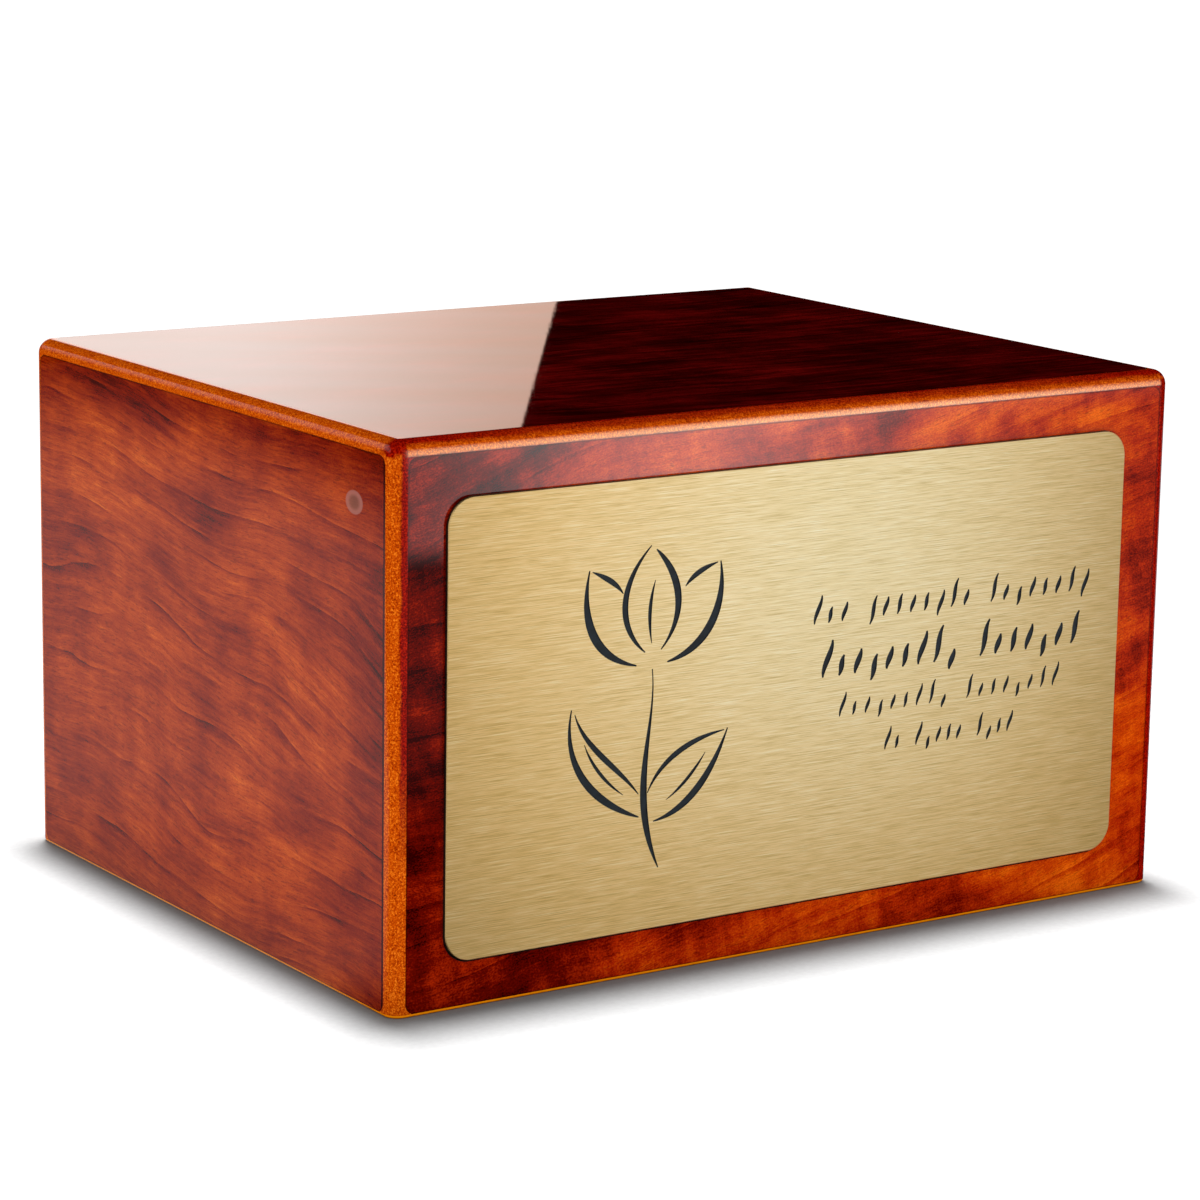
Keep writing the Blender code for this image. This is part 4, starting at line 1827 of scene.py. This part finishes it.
@dataclass(frozen=True)
class SkyCard(Card):
    """A dim card high behind on the left, for the top's sheen when it is seen from the right.

    Attributes:
        ahead: The level direction from the box to it.
        distance: How far off it hangs that way.
        ends: Its left and right ends, seen from the box.
        heights: Its foot and its head.
        foot: The heights over which it begins, and its strengths there.
        head: The heights over which it ends, and its shares there.
    """

    name: str = "sky_card"
    ahead: Triple = (-0.707, 0.707, 0.0)
    distance: float = 1.1
    ends: tuple[float, float] = (-0.7, 0.5)
    heights: tuple[float, float] = (0.25, 1.1)
    foot: tuple[float, float, float, float] = (0.25, 0.55, 0.0, 0.6)
    head: tuple[float, float, float, float] = (0.60, 1.05, 1.0, 0.0)

    def corners(self) -> list[Vector]:
        """Places its four corners in order round it.

        Returns:
            The corners.
        """
        ahead = Vector(self.ahead)
        aside = Vector((ahead.y, -ahead.x, 0))
        (left, right), (low, high) = self.ends, self.heights
        points = ((left, low), (right, low), (right, high), (left, high))
        return [ahead * self.distance + aside * along + Vector((0, 0, z)) for along, z in points]

    def light(self, tree: Tree, place: Socket) -> dict[str, Socket]:
        """Soft at its foot and fading upwards.

        Args:
            tree: The node tree.
            place: The point in metres.

        Returns:
            The glow's inputs.
        """
        z = wire(tree, "SeparateXYZ", {0: place}).node.outputs[2]
        shares = [wire(tree, "MapRange", between(z, *span), **SOFT) for span in (self.foot, self.head)]
        return {"Strength": chain(tree, "MULTIPLY", *shares)}


@dataclass(frozen=True)
class Lamp:
    """A soft box.

    Attributes:
        name: Its name.
        place: Its middle.
        size: Its width and its other side.
        energy: Its power in watts.
        shape: RECTANGLE or ELLIPSE.
        tilt: Its turn about X in radians; without one it faces down.
        hidden_from: The rays that don't see it.
    """

    name: str
    place: Triple
    size: tuple[float, float]
    energy: float
    shape: str = "RECTANGLE"
    tilt: float = math.pi / 2
    hidden_from: str = "visible_camera"

    def hang(self) -> bpy.types.Object:
        """Hangs the lamp.

        Returns:
            The lamp.
        """
        deselect()
        bpy.ops.object.light_add(type="AREA", location=self.place, rotation=(self.tilt, 0, 0))
        lamp = bpy.context.object
        lamp.name = self.name
        lamp.data.shape = self.shape
        lamp.data.size, lamp.data.size_y = self.size
        lamp.data.energy = self.energy
        setattr(lamp, self.hidden_from, False)
        return lamp


@dataclass
class Studio:
    """White sweep, reflector cards that only gloss can see, and soft light.

    Attributes:
        floor_half: Half the floor's width.
        shadow_zone: The distances over which the floor turns from paper that takes the shadow to plain white.
        tooth_mm: The size of the paper's tooth.
        white: The plain white's strength.
        shadow_height: How high the floor's lamp hangs.
        shadow_oval: The lamp's width and depth.
        shadow_energy: Its power in watts.
        air: The slopes over which the air's light changes from the sides to overhead, and its strengths.
    """

    floor_half: float = 9.0
    shadow_zone: tuple[float, float] = (0.24, 0.42)
    tooth_mm: float = 1.5
    white: float = 1.15
    shadow_height: float = 3.0
    shadow_oval: tuple[float, float] = (0.39, 0.60)
    shadow_energy: float = 490.0
    air: tuple[float, float, float, float] = (0.25, 0.75, 1.78, 0.6)

    def build(self, case: bpy.types.Object, top: bpy.types.Object, plate: bpy.types.Object) -> None:
        """Sets the floor, the cards, the lamps and the world.

        Args:
            case: The lacquered case.
            top: The top's foil.
            plate: The name plate.
        """
        floor = self.floor()
        front_cards = [card.hang() for card in (FrontCard(), TableCard())]
        high_cards = [card.hang() for card in (BackCard(), SkyCard())]
        for card in front_cards:
            self.light_only(card, case)
        for card in high_cards:
            self.light_only(card, case, top)
        self.light_only(self.shadow_lamp().hang(), floor)
        for lamp in self.plate_lamps():
            self.light_only(lamp.hang(), plate)
        self.world()

    def light_only(self, light: bpy.types.Object, *lit: bpy.types.Object) -> None:
        """Lets a lamp or card reach some objects alone.

        Args:
            light: The lamp or card.
            lit: The objects.
        """
        reach = bpy.data.collections.new(f"{light.name}_reach")
        for target in lit:
            reach.objects.link(target)
        light.light_linking.receiver_collection = reach

    def floor(self) -> bpy.types.Object:
        """Lays the white floor: it takes the box's shadow near by, and is plain white further off.

        Returns:
            The floor.
        """
        deselect()
        bpy.ops.mesh.primitive_plane_add(size=2 * self.floor_half)
        floor = bpy.context.object
        floor.name = "white_sweep"
        material, tree = new_material("white_paper_sweep")
        place = wire(tree, "TexCoord", output="Object")
        tooth = wire(tree, "TexNoise", {"Vector": place, "Scale": MM / self.tooth_mm, "Detail": 2.0})
        paper = wire(tree, "ValToRGB", {"Fac": tooth}, stops={0.3: "767676", 0.7: "7A7A7A"})
        near = wire(tree, "BsdfDiffuse", {"Color": paper})
        far = wire(tree, "Emission", {"Color": (1, 1, 1, 1), "Strength": self.white})
        radius = wire(tree, "VectorMath", {0: place}, output="Value", operation="LENGTH")
        share = wire(tree, "MapRange", between(radius, *self.shadow_zone), **SOFT)
        both = wire(tree, "MixShader", {0: share, 1: near, 2: far})
        wire(tree, "OutputMaterial", {"Surface": both})
        floor.data.materials.append(material)
        floor.visible_glossy = False
        return floor

    def plate_lamps(self) -> tuple[Lamp, ...]:
        """The plate's own soft boxes.

        One is for the photograph's view, a dim one stands beside it, and one is for views from the right.

        Returns:
            The lamps.
        """
        return (
            Lamp("plate_lamp", (0.242, -0.42, 0.13), (0.31, 0.50), 0.57),
            Lamp("plate_fill_lamp", (-0.060, -0.42, 0.10), (0.28, 0.60), 0.15),
            Lamp("plate_side_lamp", (-0.65, -0.42, 0.10), (0.90, 0.80), 1.55),
        )

    def shadow_lamp(self) -> Lamp:
        """The floor's own light, a soft oval overhead.

        Its rims stand above the box's front and left sides, so that the shadow there is dark at the foot and
        gone within a finger's width.

        Returns:
            The lamp.
        """
        wide, deep = self.shadow_oval
        place = (wide / 2 - CASE_WIDTH / 2, deep / 2 - CASE_DEPTH / 2, self.shadow_height)
        size, energy = self.shadow_oval, self.shadow_energy
        return Lamp("shadow_lamp", place, size, energy, "ELLIPSE", 0.0, "visible_glossy")

    def world(self) -> None:
        """Lights the box softly from around: strong from the sides and weak from overhead."""
        world = bpy.data.worlds.new("studio_air")
        bpy.context.scene.world = world
        world.use_nodes = True
        tree = world.node_tree
        tree.nodes.clear()
        direction = wire(tree, "TexCoord", output="Generated")
        height = wire(tree, "SeparateXYZ", {0: direction}).node.outputs[2]
        level = wire(tree, "MapRange", between(height, *self.air), **SOFT)
        soft = wire(tree, "Background", {"Color": (1, 1, 1, 1), "Strength": level})
        seen = wire(tree, "Background", {"Color": (1, 1, 1, 1), "Strength": 1.0})
        is_camera = wire(tree, "LightPath", output="Is Camera Ray")
        both = wire(tree, "MixShader", {0: is_camera, 1: soft, 2: seen})
        wire(tree, "OutputWorld", {"Surface": both})
        world.cycles_visibility.glossy = False


@dataclass
class Camera:
    """The photograph's view, solved from the box's corners.

    Attributes:
        place: Where it stands.
        yaw: How far it is turned to the right of +Y, in degrees.
        pitch: How far it looks down, in degrees.
        roll: How far it leans, in degrees.
        lens: The focal length in millimetres.
        sensor: The picture's width on the sensor in millimetres.
    """

    place: tuple[float, float, float] = (-0.5327, -0.7997, 0.2694)
    yaw: float = 33.78
    pitch: float = 11.95
    roll: float = 0.92
    lens: float = 120.3
    sensor: float = 36.0

    def build(self) -> None:
        """Sets the camera."""
        yaw, pitch, roll = (math.radians(angle) for angle in (self.yaw, self.pitch, self.roll))
        ahead = Vector((math.sin(yaw) * math.cos(pitch), math.cos(yaw) * math.cos(pitch), -math.sin(pitch)))
        level = Vector((math.cos(yaw), -math.sin(yaw), 0))
        up = level.cross(ahead)
        right = level * math.cos(roll) + up * math.sin(roll)
        over = up * math.cos(roll) - level * math.sin(roll)
        deselect()
        bpy.ops.object.camera_add()
        camera = bpy.context.object
        camera.name = "photograph_camera"
        turned = Matrix((right, over, -ahead)).transposed().to_4x4()
        camera.matrix_world = Matrix.Translation(self.place) @ turned
        camera.data.lens = self.lens
        camera.data.sensor_width = self.sensor
        camera.data.sensor_fit = "HORIZONTAL"
        camera.data.clip_start = 0.01
        bpy.context.scene.camera = camera


def main() -> None:
    """Builds the camera, the studio and the urn's pieces in order."""
    logging.basicConfig(level=logging.INFO, format="%(name)s: %(message)s")
    bpy.context.scene.view_settings.view_transform = "Standard"
    Camera().build()
    urn = UrnCase()
    case = urn.build()
    top = urn.top_foil.build(bpy.data.materials["cherry_foil_top"])
    pieces = [case, top, NamePlate().build()]
    for piece in pieces:
        log.info("%s: %d faces", piece.name, len(piece.data.polygons))
    BaseBoard().dress()
    log.info("base board and screws dressed")
    Studio().build(*pieces)


if __name__ == "__main__":
    main()
